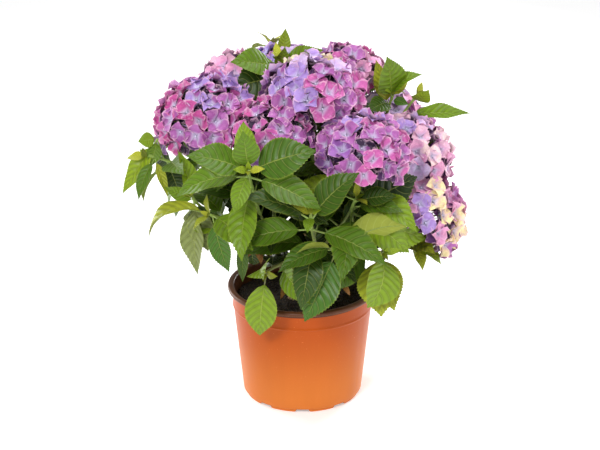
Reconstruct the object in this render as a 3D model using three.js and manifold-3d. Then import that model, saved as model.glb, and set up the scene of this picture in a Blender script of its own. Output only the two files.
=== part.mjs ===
// A mophead hydrangea in a round plastic nursery pot, in millimetres, +Z up.
// The origin is the middle of the pot's flat underside. -Y is the front of the plant.
//
// Eight canes rise from one woody foot. Each cane ends where its mass of foliage begins. In the mass
// the cane goes on as shoots that fan out to their tips, with leaves in crossed pairs, and the
// flowering shoots each carry one round flower head.
import * as THREE from 'three';
import { ConvexGeometry } from 'three/addons/geometries/ConvexGeometry.js';
import { mergeVertices } from 'three/addons/utils/BufferGeometryUtils.js';
import Module from 'manifold-3d';

const wasm = await Module();
wasm.setup();

// Pot, soil and woody foot
const SEAT_GAP = 0.3; // left between two solids that rest on or meet each other
const POT_SIDES = 48;
const POT_HEIGHT = 184;
const LIP_RADIUS = 119;
const LIP_HEIGHT = 4;
const LIP_DROP = 3;
const BAND_TOP_RADIUS = 111;
const BAND_HEIGHT = 29; // from the lip down to the thin ridge that runs round the pot
const RIDGE_STANDS_OUT = 1.4;
const RIDGE_HEIGHT = 2.4;
const WALL_FOOT_RADIUS = 94.5;
const FOOT_RING_RADIUS = 91;
const FOOT_RING_HEIGHT = 5.5;
const WALL_THICKNESS = 2.2;
const FLOOR_THICKNESS = 3;
const DRAIN_SLOTS = 9;
const DRAIN_SLOT_WIDTH = 21;
const DRAIN_SLOT_DEPTH = 15;
const DRAIN_SLOT_TURN = 10; // degrees, so that one slot faces the front
const SOIL_BELOW_RIM = 23;
const SOIL_TOP = POT_HEIGHT - SOIL_BELOW_RIM;
const FOOT_HEIGHT = 44;
const FOOT_FLARE_RADIUS = 25;
const FOOT_NECK_RADIUS = 14;
const FOOT_SIDES = 12;

// Canes, shoots and leaves
const CANE_FOOT_RADIUS = 4.6;
const CANE_TIP_RADIUS = 3.6;
const CANE_SIDES = 6;
const SHOOT_FOOT_RADIUS = 3;
const SHOOT_TIP_RADIUS = 2.1;
const SHOOT_SIDES = 3;
const SHOOT_STEPS = 6;
const COLLAR_LENGTH = 10;
const PAIRS_APART = 36;
const LEAF_WIDTH = 0.54; // of the blade's length
const LEAF_THICKNESS = 0.022; // of the blade's length, at the midrib
const PETIOLE = 0.2; // of the blade's length
const PETIOLE_HALF_WIDTH = 1.1;
const ROOT_DEPTH = 0.5; // that a petiole starts past the middle of its shoot
const LEAF_SPREAD = 66; // degrees between a leaf and its shoot
const LEAF_ARCH = 48; // degrees that a blade bends down over its length
const LEAF_FOLD = 14; // degrees that each half of a blade is lifted from flat
const LEAF_SAG = 0.0022; // how far a leaf's direction is pulled down for each mm of its blade
const UPWARD_TURN = 0.55; // how far a leaf turns its face up, the rest faces along the shoot
const BLADE_STATIONS = [0.3, 0.64]; // where the blade's rings are, from its foot at 0 to its tip at 1
const LEAF_CLEARANCE = 0.6;
// A leaf that finds no room is tried again turned aside, spread more or less, and shorter.
const TRIES = [
  { turn: 0, spread: 0, size: 1 },
  { turn: 24, spread: 0, size: 0.97 },
  { turn: -24, spread: 0, size: 0.97 },
  { turn: 0, spread: 22, size: 0.92 },
  { turn: 0, spread: -24, size: 0.92 },
  { turn: 38, spread: 14, size: 0.8 },
  { turn: -38, spread: 14, size: 0.8 },
];

// Flower heads
const HEAD_HEIGHT = 0.74; // of its radius, along the way it faces
const HEAD_UNDERSIDE = 0.5; // how deep the lower half is beside the upper half
const FLORET_SPACING = 10.6; // head radius over the root of its number of florets
const FLORET_UNEVENNESS = 0.035; // of the head's radius
const CREASE = 0.87; // how deep the creases between florets go, of the way out from the middle
const CUT_CLEARANCE = 1.02; // of a head, where it presses into the next one
const PEDUNCLE_LENGTH = 24;
const PEDUNCLE_RADIUS = 2.6;
const PEDUNCLE_SIDES = 5;
const GOLDEN_ANGLE = Math.PI * (3 - Math.sqrt(5));

// Each cane forks at its own place. A flowering shoot names its head's middle, the way the head
// faces (degrees round from +X, degrees up) and the head's radius. A leafy shoot names its tip and
// the way that it faces. pairs are the blade lengths of its pairs of leaves from the tip down, and
// turn sets the first pair. bare lists a cane's leaf places, counted from its first shoot's tip pair,
// that have lost their leaf.
const CANES = [
  {
    name: 'front',
    fork: [16, -62, 244],
    flowers: [
      {
        name: 'front_right', at: [90, -120, 446], faces: [290, 78],
        radius: 76, turn: 20, pairs: [96, 104, 104],
      },
    ],
    leafy: [
      { at: [12, -190, 378], faces: [268, 62], turn: 0, pairs: [34, 112, 104, 96] },
      { at: [-56, -140, 262], faces: [258, 6], turn: 6, pairs: [98, 84] },
    ],
  },
  {
    name: 'front_left',
    fork: [-36, -56, 252],
    flowers: [
      {
        name: 'front_left', at: [-46, -88, 465], faces: [245, 76],
        radius: 70, turn: 50, pairs: [92, 104, 100],
      },
    ],
    leafy: [
      { at: [-80, -192, 450], faces: [270, 30], turn: 0, pairs: [66, 100, 104, 100] },
      { at: [-96, -120, 320], faces: [232, 20], turn: 60, pairs: [84, 92] },
    ],
  },
  {
    name: 'right_front',
    fork: [66, -40, 242],
    flowers: [
      { name: 'low_right', at: [190, -44, 320], faces: [326, 14], radius: 72, turn: 70, pairs: [90, 96] },
    ],
    leafy: [
      { at: [52, -172, 316], faces: [276, 26], turn: 90, pairs: [110, 104, 96] },
      { at: [120, -140, 296], faces: [300, 14], turn: 0, pairs: [98, 94] },
      { at: [80, -150, 388], faces: [300, 50], turn: 80, pairs: [98, 104, 96] },
    ],
    bare: [5, 11, 13],
  },
  {
    name: 'left',
    fork: [-70, -18, 262],
    flowers: [
      { name: 'left', at: [-148, -22, 470], faces: [205, 64], radius: 78, turn: 10, pairs: [92, 100, 100] },
    ],
    leafy: [
      { at: [-140, -126, 352], faces: [218, 26], turn: 90, pairs: [92, 94, 90] },
      { at: [-168, -96, 368], faces: [205, 56], turn: 20, pairs: [66, 84, 90] },
      { at: [-236, -62, 424], faces: [198, 18], turn: 35, pairs: [64, 84, 90] },
    ],
    bare: [4, 6, 11, 14, 16, 18, 22],
  },
  {
    name: 'right',
    fork: [72, 22, 262],
    flowers: [
      { name: 'right', at: [172, 4, 410], faces: [350, 46], radius: 63, turn: 40, pairs: [88, 96] },
      {
        name: 'back_right', at: [146, 125, 402], faces: [42, 50],
        radius: 68, turn: 80, pairs: [92, 100, 96],
      },
    ],
    leafy: [
      { at: [140, 30, 488], faces: [300, 60], turn: 10, pairs: [70, 90, 94, 92] },
      { at: [178, 69, 472], faces: [10, 48], turn: 0, pairs: [82, 84] },
      { at: [182, -28, 262], faces: [350, 4], turn: 80, pairs: [86, 92] },
    ],
    bare: [19, 22],
  },
  {
    name: 'middle',
    fork: [2, 6, 300],
    flowers: [
      { name: 'middle', at: [18, -36, 509], faces: [262, 83], radius: 81, turn: 30, pairs: [90, 104, 104] },
      { name: 'top_right', at: [76, 66, 516], faces: [40, 76], radius: 51, turn: 0, pairs: [84, 96] },
    ],
    leafy: [
      { at: [-38, 42, 540], faces: [262, 80], turn: 0, pairs: [46, 86, 92, 92] },
    ],
  },
  {
    name: 'back_left',
    fork: [-50, 48, 262],
    flowers: [
      { name: 'top', at: [-26, 118, 496], faces: [95, 80], radius: 64, turn: 15, pairs: [90, 100, 100] },
      {
        name: 'back_left', at: [-104, 98, 490], faces: [140, 70],
        radius: 56, turn: 65, pairs: [88, 98, 96],
      },
      {
        name: 'low_back_left', at: [-142, 146, 392], faces: [132, 44],
        radius: 70, turn: 35, pairs: [90, 96],
      },
    ],
    leafy: [
      { at: [-186, 70, 326], faces: [165, 16], turn: 30, pairs: [88, 92, 90] },
      { at: [-196, 50, 410], faces: [168, 40], turn: 70, pairs: [60, 84, 90] },
      { at: [-50, 194, 514], faces: [85, 72], turn: 40, pairs: [46, 72, 86, 90] },
    ],
    bare: [17],
  },
  {
    name: 'back_right',
    fork: [32, 68, 256],
    flowers: [
      { name: 'back', at: [30, 204, 424], faces: [88, 52], radius: 70, turn: 55, pairs: [94, 104, 100] },
      { name: 'low_back', at: [92, 196, 318], faces: [62, 22], radius: 62, turn: 25, pairs: [88, 96] },
    ],
    leafy: [
      { at: [-46, 190, 310], faces: [105, 20], turn: 50, pairs: [90, 96, 92] },
      { at: [158, 118, 288], faces: [30, 12], turn: 80, pairs: [90, 94, 90] },
      { at: [86, 158, 482], faces: [55, 66], turn: 15, pairs: [60, 86, 92] },
      { at: [30, 150, 262], faces: [85, 6], turn: 5, pairs: [90, 88] },
    ],
  },
];

const UP = new THREE.Vector3(0, 0, 1);
const radians = THREE.MathUtils.degToRad;
const vector = (xyz) => new THREE.Vector3(...xyz);
const along = (start, direction, distance) => start.clone().addScaledVector(direction, distance);

// Numbers from 0 to 1 that come out the same each time for the same seed.
function seededRandom(seed) {
  let state = (seed * 7919 + 12345) >>> 0;
  return () => {
    state = (Math.imul(state, 1664525) + 1013904223) >>> 0;
    return state / 4294967296;
  };
}

// A unit vector from degrees round from +X and degrees up.
function heading([round, up]) {
  const level = Math.cos(radians(up));
  return new THREE.Vector3(
    level * Math.cos(radians(round)),
    level * Math.sin(radians(round)),
    Math.sin(radians(up)),
  );
}

// The part of a vector that is square to a direction, at unit length.
function squareTo(direction, wanted) {
  return wanted.clone().addScaledVector(direction, -wanted.dot(direction)).normalize();
}

function geometryOf(points, faces) {
  const geometry = new THREE.BufferGeometry().setFromPoints(points);
  geometry.setIndex(faces.flat());
  return geometry;
}

function bareGeometry(geometry) {
  const bare = geometry.clone();
  bare.deleteAttribute('normal');
  bare.deleteAttribute('uv');
  return bare;
}

function solidOf(geometry) {
  const merged = mergeVertices(bareGeometry(geometry), 1e-3);
  return new wasm.Manifold(
    new wasm.Mesh({
      numProp: 3,
      vertProperties: merged.attributes.position.array,
      triVerts: new Uint32Array(merged.index.array),
    }),
  );
}

// The largest of the bodies that cutting or joining left.
function largestBody(solid) {
  return solid.decompose().sort((a, b) => b.volume() - a.volume())[0];
}

function geometryFrom(solid) {
  const mesh = solid.getMesh();
  const geometry = new THREE.BufferGeometry();
  geometry.setAttribute('position', new THREE.BufferAttribute(mesh.vertProperties, mesh.numProp));
  geometry.setIndex(new THREE.BufferAttribute(mesh.triVerts, 1));
  return geometry;
}

// A closed limb of rings round a curve, from one radius to another.
function limb(curve, footRadius, tipRadius, sides, steps) {
  const frames = curve.computeFrenetFrames(steps, false);
  const points = [];
  for (let i = 0; i <= steps; i++) {
    const middle = curve.getPointAt(i / steps);
    const radius = THREE.MathUtils.lerp(footRadius, tipRadius, i / steps);
    for (let k = 0; k < sides; k++) {
      const angle = (2 * Math.PI * k) / sides;
      points.push(
        middle
          .clone()
          .addScaledVector(frames.normals[i], radius * Math.cos(angle))
          .addScaledVector(frames.binormals[i], radius * Math.sin(angle)),
      );
    }
  }
  const faces = [];
  for (let i = 0; i < steps; i++) {
    for (let k = 0; k < sides; k++) {
      const [a, b] = [i * sides + k, i * sides + ((k + 1) % sides)];
      faces.push([a, b, b + sides], [a, b + sides, a + sides]);
    }
  }
  for (let k = 1; k < sides - 1; k++) {
    const last = steps * sides;
    faces.push([0, k + 1, k], [last, last + k, last + k + 1]);
  }
  return geometryOf(points, faces);
}

function wallRadius(z) {
  const ridge = POT_HEIGHT - LIP_HEIGHT - BAND_HEIGHT;
  const share = THREE.MathUtils.clamp((z - FOOT_RING_HEIGHT) / (ridge - FOOT_RING_HEIGHT), 0, 1);
  return THREE.MathUtils.lerp(WALL_FOOT_RADIUS, BAND_TOP_RADIUS - 1, share);
}

function makePot() {
  const lip = POT_HEIGHT - LIP_HEIGHT;
  const ridge = lip - BAND_HEIGHT;
  const profile = [
    [0, 0],
    [FOOT_RING_RADIUS, 0],
    [FOOT_RING_RADIUS, FOOT_RING_HEIGHT],
    [WALL_FOOT_RADIUS, FOOT_RING_HEIGHT],
    [wallRadius(ridge), ridge - RIDGE_HEIGHT],
    [BAND_TOP_RADIUS + RIDGE_STANDS_OUT - 1, ridge],
    [BAND_TOP_RADIUS - 0.4, ridge + RIDGE_HEIGHT],
    [BAND_TOP_RADIUS, lip - LIP_DROP],
    [LIP_RADIUS - 1, lip - LIP_DROP],
    [LIP_RADIUS, lip],
    [LIP_RADIUS - 1, POT_HEIGHT],
    [BAND_TOP_RADIUS - WALL_THICKNESS, POT_HEIGHT - 1],
    [wallRadius(ridge) - WALL_THICKNESS, ridge],
    [WALL_FOOT_RADIUS - WALL_THICKNESS, FLOOR_THICKNESS + 5],
    [WALL_FOOT_RADIUS - WALL_THICKNESS - 5, FLOOR_THICKNESS],
    [0, FLOOR_THICKNESS],
  ].map(([radius, z]) => new THREE.Vector2(radius, z));
  const shell = new THREE.LatheGeometry(profile, POT_SIDES).rotateX(Math.PI / 2);
  let pot = solidOf(shell);
  const slotHeight = FOOT_RING_HEIGHT - 0.5;
  for (let i = 0; i < DRAIN_SLOTS; i++) {
    const slot = new THREE.BoxGeometry(2 * DRAIN_SLOT_DEPTH, DRAIN_SLOT_WIDTH, 2 * slotHeight)
      .translate(WALL_FOOT_RADIUS, 0, 0)
      .rotateZ(radians(DRAIN_SLOT_TURN + (360 * (i + 0.5)) / DRAIN_SLOTS));
    pot = pot.subtract(solidOf(slot));
  }
  return geometryFrom(pot);
}

function makeSoil() {
  const gap = WALL_THICKNESS + SEAT_GAP;
  const ridge = POT_HEIGHT - LIP_HEIGHT - BAND_HEIGHT;
  const profile = [
    [0, FLOOR_THICKNESS + SEAT_GAP],
    [WALL_FOOT_RADIUS - gap - 6, FLOOR_THICKNESS + SEAT_GAP],
    [WALL_FOOT_RADIUS - gap - 0.4, FLOOR_THICKNESS + 6],
    [wallRadius(ridge) - gap - 0.6, ridge],
    [wallRadius(ridge) - gap - 0.8, SOIL_TOP - 5],
    [wallRadius(ridge) - gap - 14, SOIL_TOP - 1.5],
    [FOOT_FLARE_RADIUS + 12, SOIL_TOP],
    [0, SOIL_TOP],
  ].map(([radius, z]) => new THREE.Vector2(radius, z));
  return new THREE.LatheGeometry(profile, POT_SIDES).rotateX(Math.PI / 2);
}

// The woody foot stands on the soil with its root flare, and the canes spring from its head.
function makeFoot(larger) {
  const profile = [
    [0, 0],
    [FOOT_FLARE_RADIUS, 0],
    [FOOT_FLARE_RADIUS * 0.7, FOOT_HEIGHT * 0.16],
    [FOOT_NECK_RADIUS, FOOT_HEIGHT * 0.45],
    [FOOT_NECK_RADIUS * 1.15, FOOT_HEIGHT * 0.75],
    [FOOT_NECK_RADIUS * 0.75, FOOT_HEIGHT * 0.95],
    [0, FOOT_HEIGHT],
  ].map(([radius, z]) => new THREE.Vector2(radius && radius + larger, z + (z ? larger : 0)));
  return new THREE.LatheGeometry(profile, FOOT_SIDES)
    .rotateX(Math.PI / 2)
    .translate(0, 0, SOIL_TOP + SEAT_GAP);
}

// Where a cane leaves the foot's head, and the curve that it follows to its fork.
function caneCurve(cane) {
  const fork = vector(cane.fork);
  const round = Math.atan2(fork.y, fork.x);
  const foot = new THREE.Vector3(
    Math.cos(round) * FOOT_NECK_RADIUS * 0.55,
    Math.sin(round) * FOOT_NECK_RADIUS * 0.55,
    SOIL_TOP + FOOT_HEIGHT * 0.62,
  );
  const bend = foot.clone().lerp(fork, 0.55);
  bend.x = fork.x * 0.62;
  bend.y = fork.y * 0.62;
  bend.z -= 6;
  return new THREE.QuadraticBezierCurve3(foot, bend, fork);
}

// A shoot leaves the fork along the cane and turns to face its own way at its tip.
function shootCurve(start, out, tip, faces) {
  const distance = start.distanceTo(tip);
  return new THREE.CubicBezierCurve3(
    start,
    along(start, out, distance * 0.38),
    along(tip, faces, -distance * 0.38),
    tip,
  );
}

function bladeHalfWidth(s) {
  const belly = Math.sin(Math.PI * Math.pow(s, 0.86));
  return 0.5 * LEAF_WIDTH * Math.pow(Math.max(belly, 0), 0.82) * (1 - 0.16 * s);
}

// Everything that fixes one leaf: where it leaves its shoot, the way it heads, its upper side,
// its length and how far it arches. chance holds five numbers from 0 to 1 that are the leaf's own.
function growLeaf(root, shootWay, round, length, chance, attempt) {
  const [turnBy, spreadBy, sizeBy, archBy, tiltBy] = chance.map((number) => 2 * number - 1);
  const turned = round + radians(12 * turnBy + attempt.turn);
  const spread = radians(LEAF_SPREAD + 10 * spreadBy + attempt.spread);
  const bladeLength = length * (1 + 0.08 * sizeBy) * attempt.size;
  const level = squareTo(shootWay, Math.abs(shootWay.z) > 0.98 ? new THREE.Vector3(1, 0, 0) : UP);
  const across = shootWay.clone().cross(level);
  const outward = level.multiplyScalar(Math.cos(turned)).addScaledVector(across, Math.sin(turned));
  const way = shootWay
    .clone()
    .multiplyScalar(Math.cos(spread))
    .addScaledVector(outward, Math.sin(spread))
    .addScaledVector(UP, -LEAF_SAG * bladeLength)
    .normalize();
  const face = squareTo(way, shootWay)
    .multiplyScalar(1 - UPWARD_TURN)
    .addScaledVector(UP, UPWARD_TURN);
  const upper = squareTo(way, face).applyAxisAngle(way, radians(16 * tiltBy));
  const arch = radians(LEAF_ARCH + 16 * archBy);
  return { root, way, upper, side: way.clone().cross(upper), length: bladeLength, arch };
}

// The midrib's point and the blade's upper normal at s from 0 at the blade's foot to 1 at its tip.
function midrib(leaf, s) {
  const bend = leaf.arch * s;
  const foot = along(leaf.root, leaf.way, PETIOLE * leaf.length);
  const reach = leaf.length / leaf.arch;
  const point = along(foot, leaf.way, reach * Math.sin(bend));
  point.addScaledVector(leaf.upper, -reach * (1 - Math.cos(bend)));
  const normal = leaf.upper.clone().multiplyScalar(Math.cos(bend));
  normal.addScaledVector(leaf.way, Math.sin(bend));
  return { point, normal };
}

// The corners of a leaf's cross-section: its two edges, lifted from the midrib, and its keel. With
// room to spare each edge has a corner above it and one below.
function leafRing(leaf, middle, normal, half, lift, depth, room) {
  const corner = (aside, up) => along(along(middle, leaf.side, aside), normal, up);
  if (room === 0) {
    return [corner(half, lift), corner(-half, lift), corner(0, -depth)];
  }
  return [
    corner(half + room, lift + room),
    corner(-half - room, lift + room),
    corner(-half - room, lift - room),
    corner(0, -depth - room),
    corner(half + room, lift - room),
  ];
}

// A closed leaf, from the point of its petiole at start to the tip of its blade.
function leafSolid(leaf, start, room) {
  const root = along(leaf.root, leaf.way, start);
  const thick = PETIOLE_HALF_WIDTH;
  const rings = [leafRing(leaf, root, leaf.upper, thick, 0, thick * 1.4, room)];
  const fold = radians(LEAF_FOLD);
  for (const s of BLADE_STATIONS) {
    const { point, normal } = midrib(leaf, s);
    const half = bladeHalfWidth(s) * leaf.length;
    const [wide, lift] = [half * Math.cos(fold), half * Math.sin(fold)];
    rings.push(leafRing(leaf, point, normal, wide, lift, LEAF_THICKNESS * leaf.length, room));
  }
  const corners = rings[0].length;
  const points = [...rings.flat(), midrib(leaf, 1 + (3 * room) / leaf.length).point];
  const faces = [];
  for (let k = 2; k < corners; k++) {
    faces.push([0, k - 1, k]);
  }
  for (let i = 0; i < rings.length - 1; i++) {
    for (let k = 0; k < corners; k++) {
      const [a, b] = [i * corners + k, i * corners + ((k + 1) % corners)];
      faces.push([a, a + corners, b + corners], [a, b + corners, b]);
    }
  }
  const last = (rings.length - 1) * corners;
  for (let k = 0; k < corners; k++) {
    faces.push([last + k, points.length - 1, last + ((k + 1) % corners)]);
  }
  return solidOf(geometryOf(points, faces));
}

// The places of a head's florets, spread evenly by the golden angle from its crown down, and round
// under it to close the ball. Lengths are in head radii and +Z is the way that the head faces.
function floretPlaces(head, random) {
  const count = Math.round((head.radius / FLORET_SPACING) ** 2);
  const places = [];
  for (let i = 0; i < count; i++) {
    const height = 1 - (2 * i + 1) / count;
    const level = Math.sqrt(1 - height * height);
    const round = i * GOLDEN_ANGLE + radians(head.turn);
    const size = 1 + (random() - 0.5) * 2 * FLORET_UNEVENNESS;
    const squash = HEAD_HEIGHT * (height < 0 ? HEAD_UNDERSIDE : 1);
    const place = new THREE.Vector3(level * Math.cos(round), level * Math.sin(round), height);
    place.z *= squash;
    places.push(place.multiplyScalar(size));
  }
  return places;
}

// Points in head radii, set in the plant at the head's middle and turned to the way it faces.
function setOnPlant(head, points) {
  const turn = new THREE.Quaternion().setFromUnitVectors(UP, heading(head.faces));
  const middle = vector(head.at);
  return points.map((p) => p.clone().multiplyScalar(head.radius).applyQuaternion(turn).add(middle));
}

// The smooth hull over all of a head's florets, a little larger when it is used to cut.
function headHull(head, places, size) {
  return solidOf(new ConvexGeometry(setOnPlant(head, places.map((p) => p.clone().multiplyScalar(size)))));
}

// A head is a ball of raised florets: each triangle of the hull between three florets is sunk at
// its middle, so that every floret stands up from a crease all round.
function headSolid(head, places) {
  const hull = mergeVertices(bareGeometry(new ConvexGeometry(places)), 1e-4);
  const position = hull.attributes.position;
  const points = [];
  for (let i = 0; i < position.count; i++) {
    points.push(new THREE.Vector3().fromBufferAttribute(position, i));
  }
  const faces = [];
  const corners = hull.index.array;
  for (let i = 0; i < corners.length; i += 3) {
    const [a, b, c] = corners.slice(i, i + 3);
    const crease = points[a].clone().add(points[b]).add(points[c]).multiplyScalar(CREASE / 3);
    points.push(crease);
    const d = points.length - 1;
    faces.push([a, b, d], [b, c, d], [c, a, d]);
  }
  return solidOf(geometryOf(setOnPlant(head, points), faces));
}

function peduncle(head) {
  const faces = heading(head.faces);
  const foot = shootTip(head);
  const start = along(foot, faces, SEAT_GAP);
  const curve = new THREE.LineCurve3(start, along(vector(head.at), faces, -2));
  return solidOf(limb(curve, PEDUNCLE_RADIUS, PEDUNCLE_RADIUS * 1.6, PEDUNCLE_SIDES, 1));
}

// A flowering shoot ends under its head, where the head's own stalk begins.
function shootTip(head) {
  const below = head.radius * HEAD_HEIGHT * HEAD_UNDERSIDE + PEDUNCLE_LENGTH;
  return along(vector(head.at), heading(head.faces), -below);
}

const heads = CANES.flatMap((cane) => cane.flowers);
const potSolid = solidOf(makePot());
const soilSolid = solidOf(makeSoil());
const footSolid = solidOf(makeFoot(0));
const footWithGap = solidOf(makeFoot(SEAT_GAP));

// Each head is cut clear of the heads before it, where two press against each other. The hulls
// keep the leaves out of the creases between florets.
function makeHeads() {
  const random = seededRandom(100);
  const hulls = [];
  const solids = heads.map((head) => {
    const places = floretPlaces(head, random);
    let solid = headSolid(head, places).add(peduncle(head));
    for (const hull of hulls) {
      solid = solid.subtract(hull);
    }
    hulls.push(headHull(head, places, CUT_CLEARANCE));
    return largestBody(solid);
  });
  return { solids, hulls };
}

function makeCane(cane) {
  const tube = limb(caneCurve(cane), CANE_FOOT_RADIUS, CANE_TIP_RADIUS, CANE_SIDES, 5);
  return solidOf(tube).subtract(footWithGap);
}

// All the shoots of one mass, as curves that leave the collar one above the other.
function shootsOf(cane) {
  const curve = caneCurve(cane);
  const out = curve.getTangentAt(1);
  const shoots = [
    ...cane.flowers.map((head) => ({ ...head, tip: shootTip(head), first: 10 })),
    ...cane.leafy.map((shoot) => ({ ...shoot, tip: vector(shoot.at), first: 3 })),
  ];
  return shoots.map((shoot, i) => {
    const start = along(curve.getPointAt(1), out, SEAT_GAP + COLLAR_LENGTH * 0.15 * (i + 1));
    return { ...shoot, curve: shootCurve(start, out, shoot.tip, heading(shoot.faces)) };
  });
}

// The places for a shoot's leaves, in crossed pairs from its tip down.
function leafPlaces(shoot) {
  const total = shoot.curve.getLength();
  return shoot.pairs.flatMap((length, pair) => {
    const s = 1 - (shoot.first + pair * PAIRS_APART) / total;
    if (s < 0.1) {
      return [];
    }
    const root = shoot.curve.getPointAt(s);
    const way = shoot.curve.getTangentAt(s);
    return [0, 180].map((half) => ({
      root,
      way,
      round: radians(shoot.turn + pair * 90 + half),
      length,
    }));
  });
}

// The bare shoots of a mass, on the short collar that meets the tip of its cane.
function makeStem(cane, shoots) {
  const curve = caneCurve(cane);
  const out = curve.getTangentAt(1);
  const foot = along(curve.getPointAt(1), out, SEAT_GAP);
  const collarCurve = new THREE.LineCurve3(foot, along(foot, out, COLLAR_LENGTH));
  const collar = limb(collarCurve, CANE_TIP_RADIUS, CANE_TIP_RADIUS, CANE_SIDES, 1);
  const twigs = shoots.map((shoot) =>
    limb(shoot.curve, SHOOT_FOOT_RADIUS, SHOOT_TIP_RADIUS, SHOOT_SIDES, SHOOT_STEPS),
  );
  return wasm.Manifold.union([collar, ...twigs].map(solidOf));
}

function overlapsAny(solid, others) {
  return others.some((other) => solid.intersect(other).volume() > 0);
}

const { solids: headSolids, hulls } = makeHeads();
const caneSolids = CANES.map(makeCane);
const shoots = CANES.map(shootsOf);
const stemSolids = CANES.map((cane, index) => makeStem(cane, shoots[index]));
const taken = [potSolid, soilSolid, footSolid, ...caneSolids, ...hulls, ...headSolids];

// One mass of foliage: its stem, and every leaf that finds room among what is there already.
function makeFoliage(index) {
  const random = seededRandom(index + 1);
  const others = [...taken, ...stemSolids.filter((stem, k) => k !== index)];
  const own = [stemSolids[index]];
  const leaves = [];
  const { bare = [] } = CANES[index];
  for (const [place, leafPlace] of shoots[index].flatMap(leafPlaces).entries()) {
    const { root, way, round, length } = leafPlace;
    const chance = [random(), random(), random(), random(), random()];
    if (bare.includes(place)) {
      continue;
    }
    const leaf = TRIES.map((attempt) => growLeaf(root, way, round, length, chance, attempt)).find(
      (tried) =>
        !overlapsAny(leafSolid(tried, -ROOT_DEPTH, LEAF_CLEARANCE), others) &&
        !overlapsAny(leafSolid(tried, PETIOLE * tried.length * 0.5, LEAF_CLEARANCE), own),
    );
    if (leaf) {
      const solid = leafSolid(leaf, -ROOT_DEPTH, 0);
      leaves.push(solid);
      own.push(solid);
    }
  }
  const mass = largestBody(wasm.Manifold.union([stemSolids[index], ...leaves]));
  taken.push(mass);
  return mass;
}

const foliageSolids = CANES.map((cane, index) => makeFoliage(index));

const COLOURS = {
  pot: new THREE.MeshStandardMaterial({ color: 0xd9753a, roughness: 0.45, metalness: 0 }),
  soil: new THREE.MeshStandardMaterial({ color: 0x33241b, roughness: 0.98, metalness: 0 }),
  wood: new THREE.MeshStandardMaterial({ color: 0x7d6846, roughness: 0.85, metalness: 0 }),
  foliage: new THREE.MeshStandardMaterial({ color: 0x5d9031, roughness: 0.5, metalness: 0 }),
  flower: new THREE.MeshStandardMaterial({ color: 0xb97fc0, roughness: 0.6, metalness: 0 }),
};

const plant = new THREE.Group();

function addPiece(name, geometry, material) {
  const piece = new THREE.Mesh(geometry, material);
  piece.name = name;
  plant.add(piece);
}

addPiece('pot', geometryFrom(potSolid), COLOURS.pot);
addPiece('potting_soil', geometryFrom(soilSolid), COLOURS.soil);
addPiece('woody_foot', geometryFrom(footSolid), COLOURS.wood);
CANES.forEach((cane, i) => {
  addPiece(`cane_${cane.name}`, geometryFrom(caneSolids[i]), COLOURS.wood);
  addPiece(`foliage_${cane.name}`, geometryFrom(foliageSolids[i]), COLOURS.foliage);
});
heads.forEach((head, i) => {
  addPiece(`flower_head_${head.name}`, geometryFrom(headSolids[i]), COLOURS.flower);
});

export default plant;
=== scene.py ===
# %% [markdown]
# # A hydrangea in its pot
# The part's solids are already packed, in metres and +Z up. This file dresses them: thin serrated
# leaves, sepals, stalks and bark grow where the coarse solids are. The first cell loads the solids
# and keeps their box, so that the dressed plant's box can be printed beside it at the end.

# %% Load the frame
import math

import bpy
import numpy as np
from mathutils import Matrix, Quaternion, Vector


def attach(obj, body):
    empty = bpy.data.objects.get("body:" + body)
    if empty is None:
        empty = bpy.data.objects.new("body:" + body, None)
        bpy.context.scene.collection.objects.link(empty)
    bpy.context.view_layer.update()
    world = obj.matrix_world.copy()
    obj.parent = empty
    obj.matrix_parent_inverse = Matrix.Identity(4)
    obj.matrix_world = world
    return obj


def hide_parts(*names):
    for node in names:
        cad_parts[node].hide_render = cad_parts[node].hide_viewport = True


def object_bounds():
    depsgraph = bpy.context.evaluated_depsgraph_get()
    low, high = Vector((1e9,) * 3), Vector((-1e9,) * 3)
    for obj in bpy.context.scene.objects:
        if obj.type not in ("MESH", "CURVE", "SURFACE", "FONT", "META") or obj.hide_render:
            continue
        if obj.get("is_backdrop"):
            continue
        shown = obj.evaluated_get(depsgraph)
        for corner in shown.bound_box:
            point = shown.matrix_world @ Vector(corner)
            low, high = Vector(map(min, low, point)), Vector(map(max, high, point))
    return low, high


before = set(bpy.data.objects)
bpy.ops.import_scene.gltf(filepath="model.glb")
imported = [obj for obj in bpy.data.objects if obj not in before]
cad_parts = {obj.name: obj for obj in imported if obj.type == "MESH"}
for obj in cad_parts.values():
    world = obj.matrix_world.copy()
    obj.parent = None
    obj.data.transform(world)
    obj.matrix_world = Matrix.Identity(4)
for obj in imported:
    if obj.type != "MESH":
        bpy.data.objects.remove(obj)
cad_low, cad_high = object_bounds()
MM = 0.001
print("nodes:", len(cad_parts), "size:", [round(v, 3) for v in cad_high - cad_low])

# %% [markdown]
# ## Camera
# The photograph looks down at about 22 degrees. Its rim and base are nearly the same ellipse, so the
# lens was long and far off. A long lens is a narrow field, and 150 mm on a 36 mm sensor gives one.

# %% Camera
CAMERA_PITCH = math.radians(22.5)
CAMERA_AWAY = 3.937
LOOK_AT = Vector((-0.0040, 0, 0.2834))

camera = bpy.data.objects.new("camera", bpy.data.cameras.new("camera"))
camera.data.lens = 150
camera.data.sensor_width = 36
camera.location = LOOK_AT + CAMERA_AWAY * Vector((0, -math.cos(CAMERA_PITCH), math.sin(CAMERA_PITCH)))
camera.rotation_euler = (math.pi / 2 - CAMERA_PITCH, 0, 0)
bpy.context.collection.objects.link(camera)
bpy.context.scene.camera = camera
print("the camera stands at", [round(c, 3) for c in camera.location])

# %% [markdown]
# ## Light
# The studio is white all round. Two tall strips at the sides draw the pale edges on the pot, and a
# large soft lamp above the camera's left shoulder models the sepals and leaves.

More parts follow.
